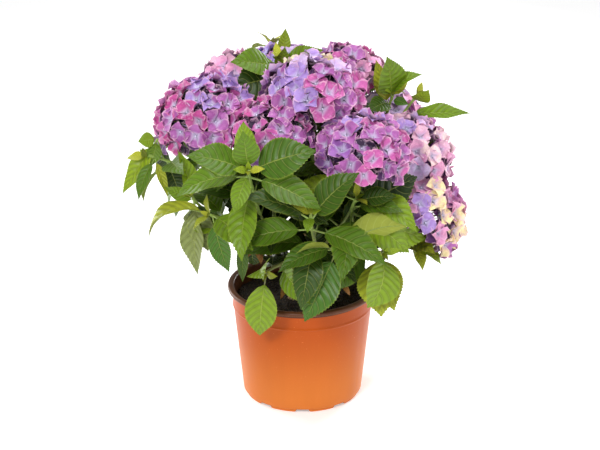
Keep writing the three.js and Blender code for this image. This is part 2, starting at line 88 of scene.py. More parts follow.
# %% Light
def place_lamp(name, at, look_at, width, height, watts):
    """A rectangular lamp that faces a point."""
    lamp = bpy.data.lights.new(name, "AREA")
    lamp.shape = "RECTANGLE"
    lamp.size, lamp.size_y, lamp.energy = width, height, watts
    stand = bpy.data.objects.new(name, lamp)
    stand.location = at
    stand.rotation_euler = (Vector(look_at) - Vector(at)).to_track_quat("-Z", "Y").to_euler()
    bpy.context.collection.objects.link(stand)


place_lamp("key", (-0.9, -2.3, 1.9), (0, 0, 0.35), 0.7, 0.6, 52)
place_lamp("left_strip", (-1.25, 0.95, 0.4), (0, 0, 0.2), 0.7, 1.4, 26)
place_lamp("right_strip", (1.15, 1.55, 0.45), (0, 0, 0.25), 0.5, 1.6, 40)
place_lamp("right_fill", (2.0, -1.1, 0.8), (0.1, 0, 0.35), 0.8, 0.8, 11)
place_lamp("top", (0.5, 0.2, 2.4), (0.05, 0, 0.4), 1.4, 1.4, 34)

world = bpy.data.worlds.new("white_studio")
world.use_nodes = True
world.node_tree.nodes["Background"].inputs["Color"].default_value = (1, 1, 1, 1)
world.node_tree.nodes["Background"].inputs["Strength"].default_value = 0.40
bpy.context.scene.world = world
bpy.context.scene.view_settings.view_transform = "Standard"
print("lamps:", [lamp.name for lamp in bpy.data.lights])

# %% [markdown]
# ## Helpers for node trees
# Materials and Geometry Nodes are both built from nodes. One helper makes a node, sets it up and
# plugs its inputs, so that each line of a recipe below reads as one step.

# %% Node helpers
def plug(tree, socket, value):
    """Links an output to a socket, or sets the socket's own number."""
    if isinstance(value, bpy.types.Node):
        value = next(out for out in value.outputs if out.enabled)
    if isinstance(value, bpy.types.NodeSocket):
        tree.links.new(value, socket)
    else:
        socket.default_value = value


def add(tree, kind, inputs=None, **settings):
    """A new node with its settings and inputs."""
    node = tree.nodes.new(kind)
    for name, value in settings.items():
        setattr(node, name, value)
    for key, value in (inputs or {}).items():
        plug(tree, node.inputs[key], value)
    return node


def calc(tree, operation, a, b=0.0, c=0.0, clamp=False):
    """One sum on numbers."""
    values = {0: a, 1: b, 2: c}
    return add(tree, "ShaderNodeMath", values, operation=operation, use_clamp=clamp)


def times(tree, a, b):
    """One number times another."""
    return calc(tree, "MULTIPLY", a, b)


def vector_calc(tree, operation, a, b=(0, 0, 0)):
    """One sum on vectors."""
    return add(tree, "ShaderNodeVectorMath", {0: a, 1: b}, operation=operation)


def scaled(tree, vector, factor):
    """A vector times a number."""
    return add(tree, "ShaderNodeVectorMath", {"Vector": vector, "Scale": factor}, operation="SCALE")


def mixed(tree, factor, a, b, blend="MIX"):
    """Two colours mixed."""
    node = add(tree, "ShaderNodeMix", data_type="RGBA", blend_type=blend)
    by_id = {socket.identifier: socket for socket in node.inputs}
    plug(tree, by_id["Factor_Float"], factor)
    plug(tree, by_id["A_Color"], a)
    plug(tree, by_id["B_Color"], b)
    return next(out for out in node.outputs if out.identifier == "Result_Color")


def between(tree, value, low, high, to_low=0.0, to_high=1.0):
    """A number moved from one range to another, smoothly and kept inside it."""
    values = {"Value": value, "From Min": low, "From Max": high, "To Min": to_low, "To Max": to_high}
    return add(tree, "ShaderNodeMapRange", values, interpolation_type="SMOOTHSTEP")


def linear(red, green, blue):
    """A colour given on screen, from 0 to 255, as the light that a shader needs."""
    light = [((c / 255 + 0.055) / 1.055) ** 2.4 if c > 10 else c / 3295 for c in (red, green, blue)]
    return (*light, 1.0)


print("middle grey on screen is", round(linear(128, 128, 128)[0], 3), "as light")

# %% [markdown]
# ## Helpers for meshes
# A growing tree of nodes starts from a bare mesh that holds only what is particular, such as where
# each leaf sits. The modifier grows it, and its result is kept as a plain mesh.

# %% Mesh helpers
VECTOR = "FLOAT_VECTOR"


def bare_mesh(name, points, edges=(), faces=()):
    """A mesh from plain lists."""
    mesh = bpy.data.meshes.new(name)
    mesh.from_pydata([tuple(p) for p in points], list(edges), list(faces))
    return mesh


def give(mesh, name, kind, values, domain="POINT"):
    """An attribute with a value for each point, or for each corner."""
    field = {VECTOR: "vector", "FLOAT2": "vector", "FLOAT_COLOR": "color"}.get(kind, "value")
    numbers = np.asarray(values, int if kind == "INT" else float).ravel()
    mesh.attributes.new(name, kind, domain).data.foreach_set(field, numbers)


def show(name, mesh):
    """A mesh as a smooth object at the origin."""
    mesh.polygons.foreach_set("use_smooth", [True] * len(mesh.polygons))
    piece = bpy.data.objects.new(name, mesh)
    bpy.context.collection.objects.link(piece)
    return piece


print("ready:", show.__name__)

# %% [markdown]
# ## Helpers for growing
# A tree of Geometry Nodes could stay on its object as a modifier, but the export needs plain meshes. So the
# tree's numbers are set, the result is kept, and the modifier goes.

# %% Growing helpers
def new_tree(name, inputs):
    """An empty Geometry Nodes tree with named inputs, and its two ends."""
    tree = bpy.data.node_groups.new(name, "GeometryNodeTree")
    tree.interface.new_socket("Geometry", in_out="INPUT", socket_type="NodeSocketGeometry")
    for label, kind in inputs.items():
        tree.interface.new_socket(label, in_out="INPUT", socket_type="NodeSocket" + kind)
    tree.interface.new_socket("Geometry", in_out="OUTPUT", socket_type="NodeSocketGeometry")
    return tree, tree.nodes.new("NodeGroupInput"), tree.nodes.new("NodeGroupOutput")


def grown(name, mesh, tree, values):
    """The mesh after it has passed through the tree, as a plain object."""
    seedling = bpy.data.objects.new(name + "_seedling", mesh)
    bpy.context.collection.objects.link(seedling)
    modifier = seedling.modifiers.new("grow", "NODES")
    modifier.node_group = tree
    for socket in tree.interface.items_tree:
        if socket.in_out == "INPUT" and socket.name in values:
            modifier[socket.identifier] = values[socket.name]
    now = bpy.context.evaluated_depsgraph_get()
    result = bpy.data.meshes.new_from_object(seedling.evaluated_get(now), depsgraph=now)
    seedling.modifiers.remove(modifier)
    bpy.data.objects.remove(seedling)
    piece = bpy.data.objects.new(name, result)
    bpy.context.collection.objects.link(piece)
    result.calc_loop_triangles()
    print(name, "has", len(result.loop_triangles), "triangles")
    return piece


def attribute(tree, name, kind="FLOAT"):
    """Reads a named attribute in Geometry Nodes."""
    return add(tree, "GeometryNodeInputNamedAttribute", {"Name": name}, data_type=kind)


def read_attributes(tree, vectors, numbers):
    """Reads several named attributes, first vectors and then numbers, into a dict."""
    kinds = {**dict.fromkeys(vectors, VECTOR), **dict.fromkeys(numbers, "FLOAT")}
    return {name: attribute(tree, name, kind).outputs["Attribute"] for name, kind in kinds.items()}


print("ready:", grown.__name__)

# %% [markdown]
# ## Floor
# The pot stands on a pale floor that catches its soft shadow. A plain square is enough. It is staged, so
# it is in the picture and not in the part.

# %% Floor
floor_mesh = bare_mesh("floor", [(-4, -4, 0), (4, -4, 0), (4, 4, 0), (-4, 4, 0)], faces=[(0, 1, 2, 3)])
floor = show("floor", floor_mesh)
floor_paint = bpy.data.materials.new("pale_floor")
floor_paint.use_nodes = True
for label, value in {
    "Base Color": (0.88, 0.88, 0.88, 1), "Roughness": 0.7, "Emission Color": (1, 1, 1, 1), "Emission Strength": 0.34,
}.items():
    floor_paint.node_tree.nodes["Principled BSDF"].inputs[label].default_value = value
floor_mesh.materials.append(floor_paint)
floor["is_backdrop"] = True
print("the floor is", floor.dimensions.x, "m wide")

# %% [markdown]
# ## How the plant grows
# Eight canes rise from one woody foot. Past its fork each cane goes on as shoots, and a shoot carries
# leaves in pairs, each pair crossed with the next. Flowering shoots end in a round head. The numbers
# are the ones that the part's own source uses, in millimetres, so every leaf lands where its coarse
# solid is. kept says which of seven poses each leaf took to find room, and x where a place is bare.

# %% The plant's table
def flowering(name, at, faces, radius, turn, pairs):
    """A shoot under a flower head: the head's place, way and radius, then the leaves' turn and pairs."""
    return dict(name=name, at=at, faces=faces, radius=radius, turn=turn, pairs=pairs)


def leafy(at, faces, turn, pairs):
    """A shoot without a head: its tip's place and way, the leaves' turn, and each pair's length."""
    return dict(at=at, faces=faces, turn=turn, pairs=pairs)


CANES = {
    "front": dict(
        fork=(16, -62, 244),
        flowers=[flowering("front_right", (90, -120, 446), (290, 78), 76, 20, (96, 104, 104))],
        leafy=[
            leafy((12, -190, 378), (268, 62), 0, (34, 112, 104, 96)),
            leafy((-56, -140, 262), (258, 6), 6, (98, 84)),
        ],
        kept="00x0x0000000604000",
    ),
    "front_left": dict(
        fork=(-36, -56, 252),
        flowers=[flowering("front_left", (-46, -88, 465), (245, 76), 70, 50, (92, 104, 100))],
        leafy=[
            leafy((-80, -192, 450), (270, 30), 0, (66, 100, 104, 100)),
            leafy((-96, -120, 320), (232, 20), 60, (84, 92)),
        ],
        kept="12245100000x02160x",
    ),
    "right_front": dict(
        fork=(66, -40, 242),
        flowers=[flowering("low_right", (190, -44, 320), (326, 14), 72, 70, (90, 96))],
        leafy=[
            leafy((52, -172, 316), (276, 26), 90, (110, 104, 96)),
            leafy((120, -140, 296), (300, 14), 0, (98, 94)),
            leafy((80, -150, 388), (300, 50), 80, (98, 104, 96)),
        ],
        kept="00001x4611xx5x200xx6",
    ),
    "left": dict(
        fork=(-70, -18, 262),
        flowers=[flowering("left", (-148, -22, 470), (205, 64), 78, 10, (92, 100, 100))],
        leafy=[
            leafy((-140, -126, 352), (218, 26), 90, (92, 94, 90)),
            leafy((-168, -96, 368), (205, 56), 20, (66, 84, 90)),
            leafy((-236, -62, 424), (198, 18), 35, (64, 84, 90)),
        ],
        kept="0105x0x0x5xxx0xxx2x000x3",
    ),
    "right": dict(
        fork=(72, 22, 262),
        flowers=[
            flowering("right", (172, 4, 410), (350, 46), 63, 40, (88, 96)),
            flowering("back_right", (146, 125, 402), (42, 50), 68, 80, (92, 100, 96)),
        ],
        leafy=[
            leafy((140, 30, 488), (300, 60), 10, (70, 90, 94, 92)),
            leafy((178, 69, 472), (10, 48), 0, (82, 84)),
            leafy((182, -28, 262), (350, 4), 80, (86, 92)),
        ],
        kept="00x513025060041xxxxx4xx0x5",
    ),
    "middle": dict(
        fork=(2, 6, 300),
        flowers=[
            flowering("middle", (18, -36, 509), (262, 83), 81, 30, (90, 104, 104)),
            flowering("top_right", (76, 66, 516), (40, 76), 51, 0, (84, 96)),
        ],
        leafy=[leafy((-38, 42, 540), (262, 80), 0, (46, 86, 92, 92))],
        kept="12x6x024x010x613x3",
    ),
    "back_left": dict(
        fork=(-50, 48, 262),
        flowers=[
            flowering("top", (-26, 118, 496), (95, 80), 64, 15, (90, 100, 100)),
            flowering("back_left", (-104, 98, 490), (140, 70), 56, 65, (88, 98, 96)),
            flowering("low_back_left", (-142, 146, 392), (132, 44), 70, 35, (90, 96)),
        ],
        leafy=[
            leafy((-186, 70, 326), (165, 16), 30, (88, 92, 90)),
            leafy((-196, 50, 410), (168, 40), 70, (60, 84, 90)),
            leafy((-50, 194, 514), (85, 72), 40, (46, 72, 86, 90)),
        ],
        kept="3236046x504x5004xx100x40115x40x20x40",
    ),
    "back_right": dict(
        fork=(32, 68, 256),
        flowers=[
            flowering("back", (30, 204, 424), (88, 52), 70, 55, (94, 104, 100)),
            flowering("low_back", (92, 196, 318), (62, 22), 62, 25, (88, 96)),
        ],
        leafy=[
            leafy((-46, 190, 310), (105, 20), 50, (90, 96, 92)),
            leafy((158, 118, 288), (30, 12), 80, (90, 94, 90)),
            leafy((86, 158, 482), (55, 66), 15, (60, 86, 92)),
            leafy((30, 150, 262), (85, 6), 5, (90, 88)),
        ],
        kept="30141x100610040x0x0xx1204xx0x000",
    ),
}
HEADS = [head for cane in CANES.values() for head in cane["flowers"]]
print(len(CANES), "canes and", len(HEADS), "flower heads")

# %% [markdown]
# ## Chance that repeats
# A plant looks natural when no two leaves are quite alike, but the file must give the same plant each
# time. A small counting rule gives numbers that look random and never change.

# %% Seeded numbers
SOIL_TOP, FOOT_HEIGHT, FOOT_NECK_RADIUS, FOOT_FLARE_RADIUS = 161, 44, 14, 25
UP = Vector((0, 0, 1))


def seeded_numbers(seed):
    """A function that gives the next number from 0 to 1."""
    state = (seed * 7919 + 12345) % 2**32

    def draw():
        nonlocal state
        state = (state * 1664525 + 1013904223) % 2**32
        return state / 2**32

    return draw


print("seeds 1 and 2 begin with", round(seeded_numbers(1)(), 3), "and", round(seeded_numbers(2)(), 3))

# %% [markdown]
# ## Curves
# Canes and shoots bend smoothly, so each is a Bezier curve: a few control points pull it into shape. Leaves
# sit at even distances on it, so the curve is measured and walked by its length.

# %% Curves
def heading(round_and_up):
    """A unit vector from degrees round from +X and degrees up."""
    round_by, up_by = map(math.radians, round_and_up)
    level = math.cos(up_by)
    return Vector((level * math.cos(round_by), level * math.sin(round_by), math.sin(up_by)))


def square_to(direction, wanted):
    """The part of wanted that is square to direction, at unit length."""
    return (wanted - direction * wanted.dot(direction)).normalized()


class Bend:
    """A Bezier curve that is walked by its length."""

    STEPS = 200

    def __init__(self, *controls):
        self.controls = [Vector(c) for c in controls]
        points = [self.at(i / self.STEPS) for i in range(self.STEPS + 1)]
        gaps = [(b - a).length for a, b in zip(points, points[1:])]
        self.walked = np.concatenate([[0], np.cumsum(gaps)])
        self.length = float(self.walked[-1])

    def at(self, t):
        left = self.controls
        while len(left) > 1:
            left = [a.lerp(b, t) for a, b in zip(left, left[1:])]
        return left[0]

    def share(self, s):
        return float(np.interp(s * self.length, self.walked, np.linspace(0, 1, self.STEPS + 1)))

    def point(self, s):
        return self.at(self.share(s))

    def way(self, s):
        t = self.share(s)
        return (self.at(min(t + 1e-4, 1)) - self.at(max(t - 1e-4, 0))).normalized()


print("a straight curve of 10 mm measures", round(Bend((0, 0, 0), (10, 0, 0)).length, 3))

# %% [markdown]
# ## From the foot to the tips
# A cane leans out from the woody foot to its fork. Its shoots start there one after the other, first go on
# the cane's way and then turn to their own. A flowering shoot stops under its head, where the stalk begins.

# %% Canes and shoots
def cane_curve(cane):
    """From inside the woody foot's head to the cane's fork."""
    fork = Vector(cane["fork"])
    out = Vector((fork.x, fork.y, 0)).normalized() * FOOT_NECK_RADIUS * 0.55
    foot = Vector((out.x, out.y, SOIL_TOP + FOOT_HEIGHT * 0.62))
    bend = foot.lerp(fork, 0.55)
    return Bend(foot, (fork.x * 0.62, fork.y * 0.62, bend.z - 6), fork)


def shoots_of(cane):
    """Each shoot of a cane with its curve, from the collar past the fork to its own tip."""
    curve = cane_curve(cane)
    out = curve.way(1)
    shoots = [dict(head, tip=shoot_tip(head), first=10) for head in cane["flowers"]]
    shoots += [dict(shoot, tip=Vector(shoot["at"]), first=3) for shoot in cane["leafy"]]
    for i, shoot in enumerate(shoots):
        start = curve.point(1) + out * (0.3 + 1.5 * (i + 1))
        reach = (shoot["tip"] - start).length * 0.38
        before_tip = shoot["tip"] - heading(shoot["faces"]) * reach
        shoot["curve"] = Bend(start, start + out * reach, before_tip, shoot["tip"])
    return shoots


HEAD_HEIGHT, HEAD_UNDERSIDE, PEDUNCLE_LENGTH = 0.74, 0.5, 24


def shoot_tip(head):
    """A flowering shoot ends under its head, where the head's stalk begins."""
    below = head["radius"] * HEAD_HEIGHT * HEAD_UNDERSIDE + PEDUNCLE_LENGTH
    return Vector(head["at"]) - heading(head["faces"]) * below


SHOOTS = {name: shoots_of(cane) for name, cane in CANES.items()}
print("longest shoot:", round(max(s["curve"].length for group in SHOOTS.values() for s in group)), "mm")

# %% [markdown]
# ## Where each leaf sits
# A leaf is fixed by the point where it leaves its shoot, the way it heads, the way its face looks, its
# length and how far it arches over. The face turns half towards the light above.

# %% Leaf places
PETIOLE = 0.2
PAIRS_APART = 36
LEAF_SPREAD, LEAF_ARCH, LEAF_SAG, UPWARD_TURN = 66, 48, 0.0022, 0.55
# Each pose turns the leaf round its shoot, spreads it from the shoot, and shortens it.
TRIES = [
    (0, 0, 1), (24, 0, 0.97), (-24, 0, 0.97), (0, 22, 0.92), (0, -24, 0.92), (38, 14, 0.8), (-38, 14, 0.8),
]


def grow_leaf(root, shoot_way, turned, length, chance, attempt):
    """The leaf that one chance and one pose give, as a dict."""
    turn_by, spread_by, size_by, arch_by, tilt_by = [2 * number - 1 for number in chance]
    more_turn, more_spread, size = attempt
    turned = math.radians(turned + 12 * turn_by + more_turn)
    spread = math.radians(LEAF_SPREAD + 10 * spread_by + more_spread)
    blade = length * (1 + 0.08 * size_by) * size
    level = square_to(shoot_way, Vector((1, 0, 0)) if abs(shoot_way.z) > 0.98 else UP)
    outward = level * math.cos(turned) + shoot_way.cross(level) * math.sin(turned)
    way = shoot_way * math.cos(spread) + outward * math.sin(spread) - UP * LEAF_SAG * blade
    way.normalize()
    face = square_to(way, shoot_way) * (1 - UPWARD_TURN) + UP * UPWARD_TURN
    upper = Quaternion(way, math.radians(16 * tilt_by)) @ square_to(way, face)
    return dict(root=root, way=way, upper=upper, length=blade, arch=math.radians(LEAF_ARCH + 16 * arch_by))


def leaves_of(name):
    """Every leaf of one cane's foliage that found room."""
    draw = seeded_numbers(list(CANES).index(name) + 1)
    kept = iter(CANES[name]["kept"])
    leaves = []
    for order, shoot in enumerate(SHOOTS[name]):
        for pair, length in enumerate(shoot["pairs"]):
            s = 1 - (shoot["first"] + pair * PAIRS_APART) / shoot["curve"].length
            if s < 0.1:
                continue
            for half in (0, 180):
                chance = [draw() for _ in range(5)]
                pose = next(kept)
                if pose != "x":
                    root, way = shoot["curve"].point(s), shoot["curve"].way(s)
                    turned = shoot["turn"] + pair * 90 + half
                    leaf = grow_leaf(root, way, turned, length, chance, TRIES[int(pose)])
                    leaves.append(dict(leaf, cane=name, shoot=order, pair=pair, flowering="name" in shoot))
    return leaves


def leaf_spine(leaf, s, below=0.0):
    """A point of a leaf's midrib, and below it by some millimetres."""
    foot = leaf["root"] + leaf["way"] * (PETIOLE * leaf["length"])
    reach, bend = leaf["length"] / leaf["arch"], leaf["arch"] * s
    spot = foot + leaf["way"] * reach * math.sin(bend) - leaf["upper"] * reach * (1 - math.cos(bend))
    return spot - (leaf["upper"] * math.cos(bend) + leaf["way"] * math.sin(bend)) * below


LEAVES = [leaf for name in CANES for leaf in leaves_of(name)]
print(len(LEAVES), "leaves")

# %% [markdown]
# ## Leaves that are aimed
# Some leaves give the plant its outline, and the rule's chance doesn't put their tips where they belong.
# Those are aimed: each starts on its own shoot and its tip is given, so that the leaf ends just there. The
# rule could be tried again with other seeds, but that would move all the other leaves too.

# %% How a leaf is aimed
def leaf_between(root, tip, shade, arch, face, wide=1.0):
    """A leaf from the start of its stalk to its tip, which arches over by some degrees."""
    span = Vector(tip) - root
    chord, bend = span.normalized(), math.radians(arch)
    lifted = square_to(chord, Vector(face))
    way = (chord * math.cos(bend / 2) + lifted * math.sin(bend / 2)).normalized()
    blade = span.length / (PETIOLE * math.cos(bend / 2) + 2 * math.sin(bend / 2) / bend)
    upper = square_to(way, Vector(face))
    return dict(root=root, way=way, upper=upper, length=blade, arch=bend, shade=shade, wide=wide)


def aimed_leaf(cane, order, back, tip, shade, arch, face, wide=1.0):
    """A leaf from a shoot, some millimetres back from its end, to a tip. The leafy shoots count from 0."""
    shoot = len(CANES[cane]["flowers"]) + order
    curve = SHOOTS[cane][shoot]["curve"]
    root = curve.point(1 - back / curve.length)
    return dict(leaf_between(root, tip, shade, arch, face, wide), cane=cane, shoot=shoot)


print("a leaf can be aimed from any of", sum(len(group) for group in SHOOTS.values()), "shoots")

# %% [markdown]
# ## The list of aimed leaves
# Each line names a cane and one of its leafy shoots, how far back the leaf starts, and its tip. Then come
# its shade, how many degrees it arches, the way its face looks, and how wide it is. A shoot below 0 is
# one of the flowering ones.

# %% Aimed leaves
# An aimed leaf's shade is partly painted light and shade: the darkest greens mark leaves in the plant's shade, and
# lighter ones brighten some leaves that lie under the heads.
AIMED = [aimed_leaf(*row) for row in (
    ("middle", 0, 10, (-112, 0, 552), 6, 24, (-0.2, -0.9, 1), 1.1),
    ("middle", 0, 34, (-108, -16, 512), 1, 50, (-0.5, -1, 0.6), 1.5),
    ("middle", 0, 14, (-27, 18, 573), 9, 10, (0.1, -1, 0.2), 0.9),
    ("middle", 0, 8, (33, 10, 570), 8, 10, (0.1, -1, 0.7), 0.9),
    ("middle", -2, 8, (-64, -4, 470), 1, 20, (-0.2, -1, 0.6), 1.2),
    ("middle", -2, 16, (44, -62, 446), 0, 30, (0.2, -1, 0.8), 1.3),
    ("right", 0, 8, (128, 6, 562), 8, 20, (0.35, -1, 0.4), 1.35),
    ("right", 0, 4, (190, 30, 518), 8, 84, (0.1, -0.35, 1)),
    ("right", 0, 8, (165, 20, 477), 7, 40, (0.2, -1, 0.6), 1.1),
    ("right", 0, 24, (113, 40, 545), 12, 30, (0, -1, 0.5), 0.8),
    ("right", 0, 16, (97, -22, 477), 3, 40, (0, -0.9, 0.8), 1.2),
    ("right", 1, 34, (263, 40, 455), 8, 6, (0, -0.55, 1), 0.7),
    ("right", 1, 6, (197, 48, 495), 10, 50, (0.5, -1, 0.3), 1.7),
    ("front_left", 0, 6, (-88, -196, 515), 6, 20, (0, -1, 0.25), 1.25),
    ("front_left", 0, 14, (-174, -190, 469), 5, 52, (-0.2, -0.9, 1), 1.2),
    ("front_left", 0, 14, (22, -196, 481), 4, 40, (0.3, -0.9, 0.9), 1.2),
    ("front", 1, 20, (-46, -40, 241), 0, 30, (0, -1, 0.6)),
    ("front_left", 1, 24, (-77, -60, 244), 1, 30, (0, -1, 0.6)),
    ("front_left", 1, 10, (-92, -112, 236), 3, 24, (-0.1, -1, 0.4), 0.55),
    ("front_left", 0, 8, (-101, -215, 390), 8, 56, (-0.1, -1, 0.5), 1.1),
    ("front", 0, 12, (-95, -206, 407), 2, 44, (-0.1, -0.5, 1), 1.15),
    ("front", 0, 14, (88, -196, 447), 3, 44, (-0.1, -0.8, 1), 1.15),
    ("right_front", 0, 12, (-36, -196, 282), 4, 58, (-0.1, -0.6, 1), 1.1),
    ("right_front", 0, 8, (158, -176, 346), 12, 60, (0.2, 1, 0.5), 0.9),
    ("right_front", 0, 6, (-9, -200, 316), 12, 40, (0, 0.8, 0.6), 0.6),
    ("right_front", 0, 20, (3, -180, 200), 7, 30, (0.2, -1, 0.7), 1.2),
    ("right_front", 2, 10, (141, -150, 390), 2, 34, (0.1, -0.7, 1), 1.1),
    ("right_front", 2, 24, (152, -150, 362), 5, 50, (0.1, -0.6, 1)),
    ("right_front", 1, 2, (91, -172, 221), 9, 76, (1.2, -1, 0.4), 1.7),
    ("right_front", 1, 26, (140, -156, 206), 12, 10, (0.1, -0.8, 0.8), 1.2),
    ("right_front", 1, 18, (120, -160, 198), 12, 14, (0.1, -1, 0.5), 1.4),
    ("right_front", 1, 24, (118, -122, 320), 2, 30, (0, -1, 0.8), 1.2),
    ("right_front", -1, 40, (145, -60, 259), 2, 30, (0, -1, 0.7), 1.3),
    ("right_front", 2, 34, (174, -84, 397), 0, 30, (0, -1, 0.5), 1.4),
    ("right_front", 1, 1, (148, -130, 294), 13, 30, (0.3, -1, 0.4), 0.7),
    ("right_front", 1, 2, (135, -130, 306), 14, 40, (0.3, -1, 0.4), 0.6),
    ("right_front", 2, 40, (160, -118, 286), 9, 40, (0.2, -1, 0.8), 1.2),
    ("right_front", 2, 46, (187, -90, 297), 9, 30, (0.1, -1, 0.5), 1.3),
    ("right", 2, 26, (150, -84, 272), 10, 40, (-0.2, -1, 0.8), 1.2),
    ("right", 2, 22, (206, -90, 268), 12, 40, (0.2, -1, 0.8), 1.2),
    ("left", 0, 6, (-225, -116, 294), 12, 112, (-0.6, -0.2, 1), 0.62),
    ("left", 0, 4, (-111, -134, 262), 7, 20, (-0.6, -1, 0.5), 0.95),
    ("left", 1, 4, (-160, -112, 248), 15, 14, (-0.7, -0.9, 0.3), 0.9),
    ("left", 1, 3, (-145, -108, 286), 15, 20, (-0.2, -1, 0.3), 1.1),
    ("left", 0, 26, (-177, -80, 329), 2, 30, (-0.2, -1, 0.4), 1.4),
    ("left", 2, 44, (-226, -22, 406), 2, 34, (0, -1, 0.3), 1.6),
    ("left", 2, 30, (-192, -44, 358), 1, 30, (0.2, -1, 0.3), 1.5),
    ("left", 1, 10, (-211, -90, 383), 8, 30, (-0.2, -1, 0.6)),
    ("left", 1, 6, (-190, -112, 452), 9, 16, (0.7, -1, 0.2), 0.6),
    ("left", 2, 12, (-249, -84, 358), 5, 50, (-0.3, -0.8, 1), 0.75),
    ("left", 2, 10, (-206, -96, 368), 12, 24, (0.2, -1, 0.6), 0.5),
    ("right", 2, 8, (186, -66, 232), 12, 40, (0.4, -0.8, 0.8)),
    ("right", 2, 8, (145, -52, 284), 3, 30, (0, -1, 0.6), 1.2),
    ("right", 2, 4, (216, -44, 232), 10, 44, (0.5, -0.6, 0.9)),
)]
# One leaf comes up between the florets of the top head.
TOP_HEAD_LEAF = leaf_between(Vector((-32, 112, 522)), (-27, 112, 572), 10, 14, (0.1, -1, 0.2), 0.9)
AIMED.append(dict(TOP_HEAD_LEAF, cane="back_left", shoot=None))
# A short side twig lifts the outermost leaves on the left up to the flower head.
SIDE_TWIG = ((-213, -55, 416), (-219, -52, 432), (-222, -50, 447))
TWIG_LEAVES = (
    ((-277, -66, 362), 10, 4, (-0.4, -1, 0.6), 0.75),
    ((-232, -60, 406), 6, 30, (0, -1, 0.4), 1.2),
    ((-252, -54, 444), 9, 30, (0, -1, 0.5), 1.6),
)
for aim in TWIG_LEAVES:
    AIMED.append(dict(leaf_between(Vector(SIDE_TWIG[-1]), *aim), cane="left", shoot=None))
print(len(AIMED), "aimed leaves")

# %% [markdown]
# ## Leaves that give way
# Two leaves can't fill the same room. A grown leaf that would end near the tip of an aimed leaf on the same
# shoot is left out, and a few others are named by the place of their tip, because the plant has dropped them.

# %% Leaves that give way
GIVES_WAY_WITHIN = 50
# Where the tips of the leaves were that have fallen.
FALLEN = (
    (166, -34, 197), (-222, -134, 322), (188, -24, 450), (204, 110, 472), (-120, -103, 216), (-91, -52, 203),
)
SAME_TIP_WITHIN = 4


def stays(leaf):
    """Whether a grown leaf keeps its place: it hasn't fallen, and no aimed leaf takes its room."""
    if any((leaf_spine(leaf, 1) - Vector(spot)).length < SAME_TIP_WITHIN for spot in FALLEN):
        return False
    rivals = [a for a in AIMED if (a["cane"], a["shoot"]) == (leaf["cane"], leaf["shoot"])]
    return all((leaf_spine(a, 1) - leaf_spine(leaf, 1)).length > GIVES_WAY_WITHIN for a in rivals)


grown_before = len(LEAVES)
LEAVES = [leaf for leaf in LEAVES if stays(leaf)]
print(grown_before - len(LEAVES), "grown leaves gave way, and", len(LEAVES), "are left")

# %% [markdown]
# ## Leaves inside the plant
# The older pairs of every shoot go on down towards the fork, and keep the daylight from showing through.
# They could be one dark lump, but single leaves also look right through the gaps. A leaf is kept only where
# its tip stays inside a cone that widens upwards.

# %% Inner leaves
INSIDE_AT_SOIL, INSIDE_WIDENS = 60, 0.45
INNER_CLOSER, INNER_LEAF_LENGTH = 0.66, 90
LOWEST_INNER_PAIR = 0.06


def inner_leaves():
    """The old pairs between the listed ones and the fork, where they stay inside the plant, dark with painted shade."""
    draw = seeded_numbers(97)
    made = []
    for group in SHOOTS.values():
        for shoot in group:
            pair = len(shoot["pairs"])
            while True:
                s = 1 - (shoot["first"] + pair * PAIRS_APART * INNER_CLOSER) / shoot["curve"].length
                if s < LOWEST_INNER_PAIR:
                    break
                for half in (0, 180):
                    chance = [draw() for _ in range(5)]
                    root, way = shoot["curve"].point(s), shoot["curve"].way(s)
                    turned = shoot["turn"] + pair * 90 + half
                    leaf = grow_leaf(root, way, turned, INNER_LEAF_LENGTH, chance, TRIES[0])
                    tip = leaf_spine(leaf, 1)
                    if math.hypot(tip.x, tip.y) < INSIDE_AT_SOIL + INSIDE_WIDENS * (tip.z - SOIL_TOP):
                        # The darkest greens: partly the leaves' age, partly painted shade inside the plant.
                        made.append(dict(leaf, shade=(0, 0, 1, 2)[int(draw() * 4)]))
                pair += 1
    return made


INNER_LEAVES = inner_leaves()
print(len(INNER_LEAVES), "inner leaves")

# %% [markdown]
# ## The leaf's shape
# A hydrangea leaf is a broad oval with a drawn-out tip and a saw edge. It is made once, as a thin closed
# blade: an upper sheet and a lower one that share a sharp outline. Every second point of the outline
# is pushed out and forwards, which gives the teeth. The sheet swells between its side veins.

# %% A leaf's outline
BLADE_HALF_WIDTH = 0.27
FOLD = math.radians(14)
SIDE_VEINS = 8
SWEEP, SWEEP_BEND = 0.19, 1.35


def blade_half_width(s):
    """Half the blade's width at s along it, from 0 at its foot to 1 at its tip."""
    drawn_out = 1 - 0.62 * s**4
    return BLADE_HALF_WIDTH * max(math.sin(math.pi * s**0.86), 0) ** 0.82 * (1 - 0.12 * s) * drawn_out


def blade_point(s, across, wide, ripple, phase, tooth, lower):
    """A point of a sheet, in lengths of the blade: along, across and up. Only the upper sheet swells."""
    half = max(blade_half_width(s) * wide, 0.007)
    aside = half * across + math.copysign(tooth * 0.013, across) * min(half * 12, 1)
    vein = SIDE_VEINS * (s - SWEEP * abs(across) ** SWEEP_BEND) + (0.5 if across < 0 else 0)
    swell = 0.0 if lower else 0.0075 * (1 - math.cos(2 * math.pi * vein)) * (1 - across * across) * min(half * 6, 1)
    wave = ripple * math.sin(12 * s + phase + (1.3 if across < 0 else 0)) * across**2 * min(half * 4, 1)
    return (s + tooth * 0.012, aside * math.cos(FOLD), abs(aside) * math.sin(FOLD) + swell + wave)


widest = max(blade_half_width(i / 100) for i in range(101))
print("a blade is", round(2 * widest, 2), "of its length wide")

# %% [markdown]
# ## A sheet with two faces
# Leaves and sepals are thin, but a part needs closed bodies. So a sheet is made of an upper and a lower
# face that share their outline. A flat map called blade tells where a point is: its first number runs from
# the foot to the tip, and its second one is around 0.25 on the upper face and around 0.75 on the lower.

# %% A closed sheet
UPPER_FACE_AT, LOWER_FACE_AT, HALF_FACE = 0.25, 0.75, 0.24


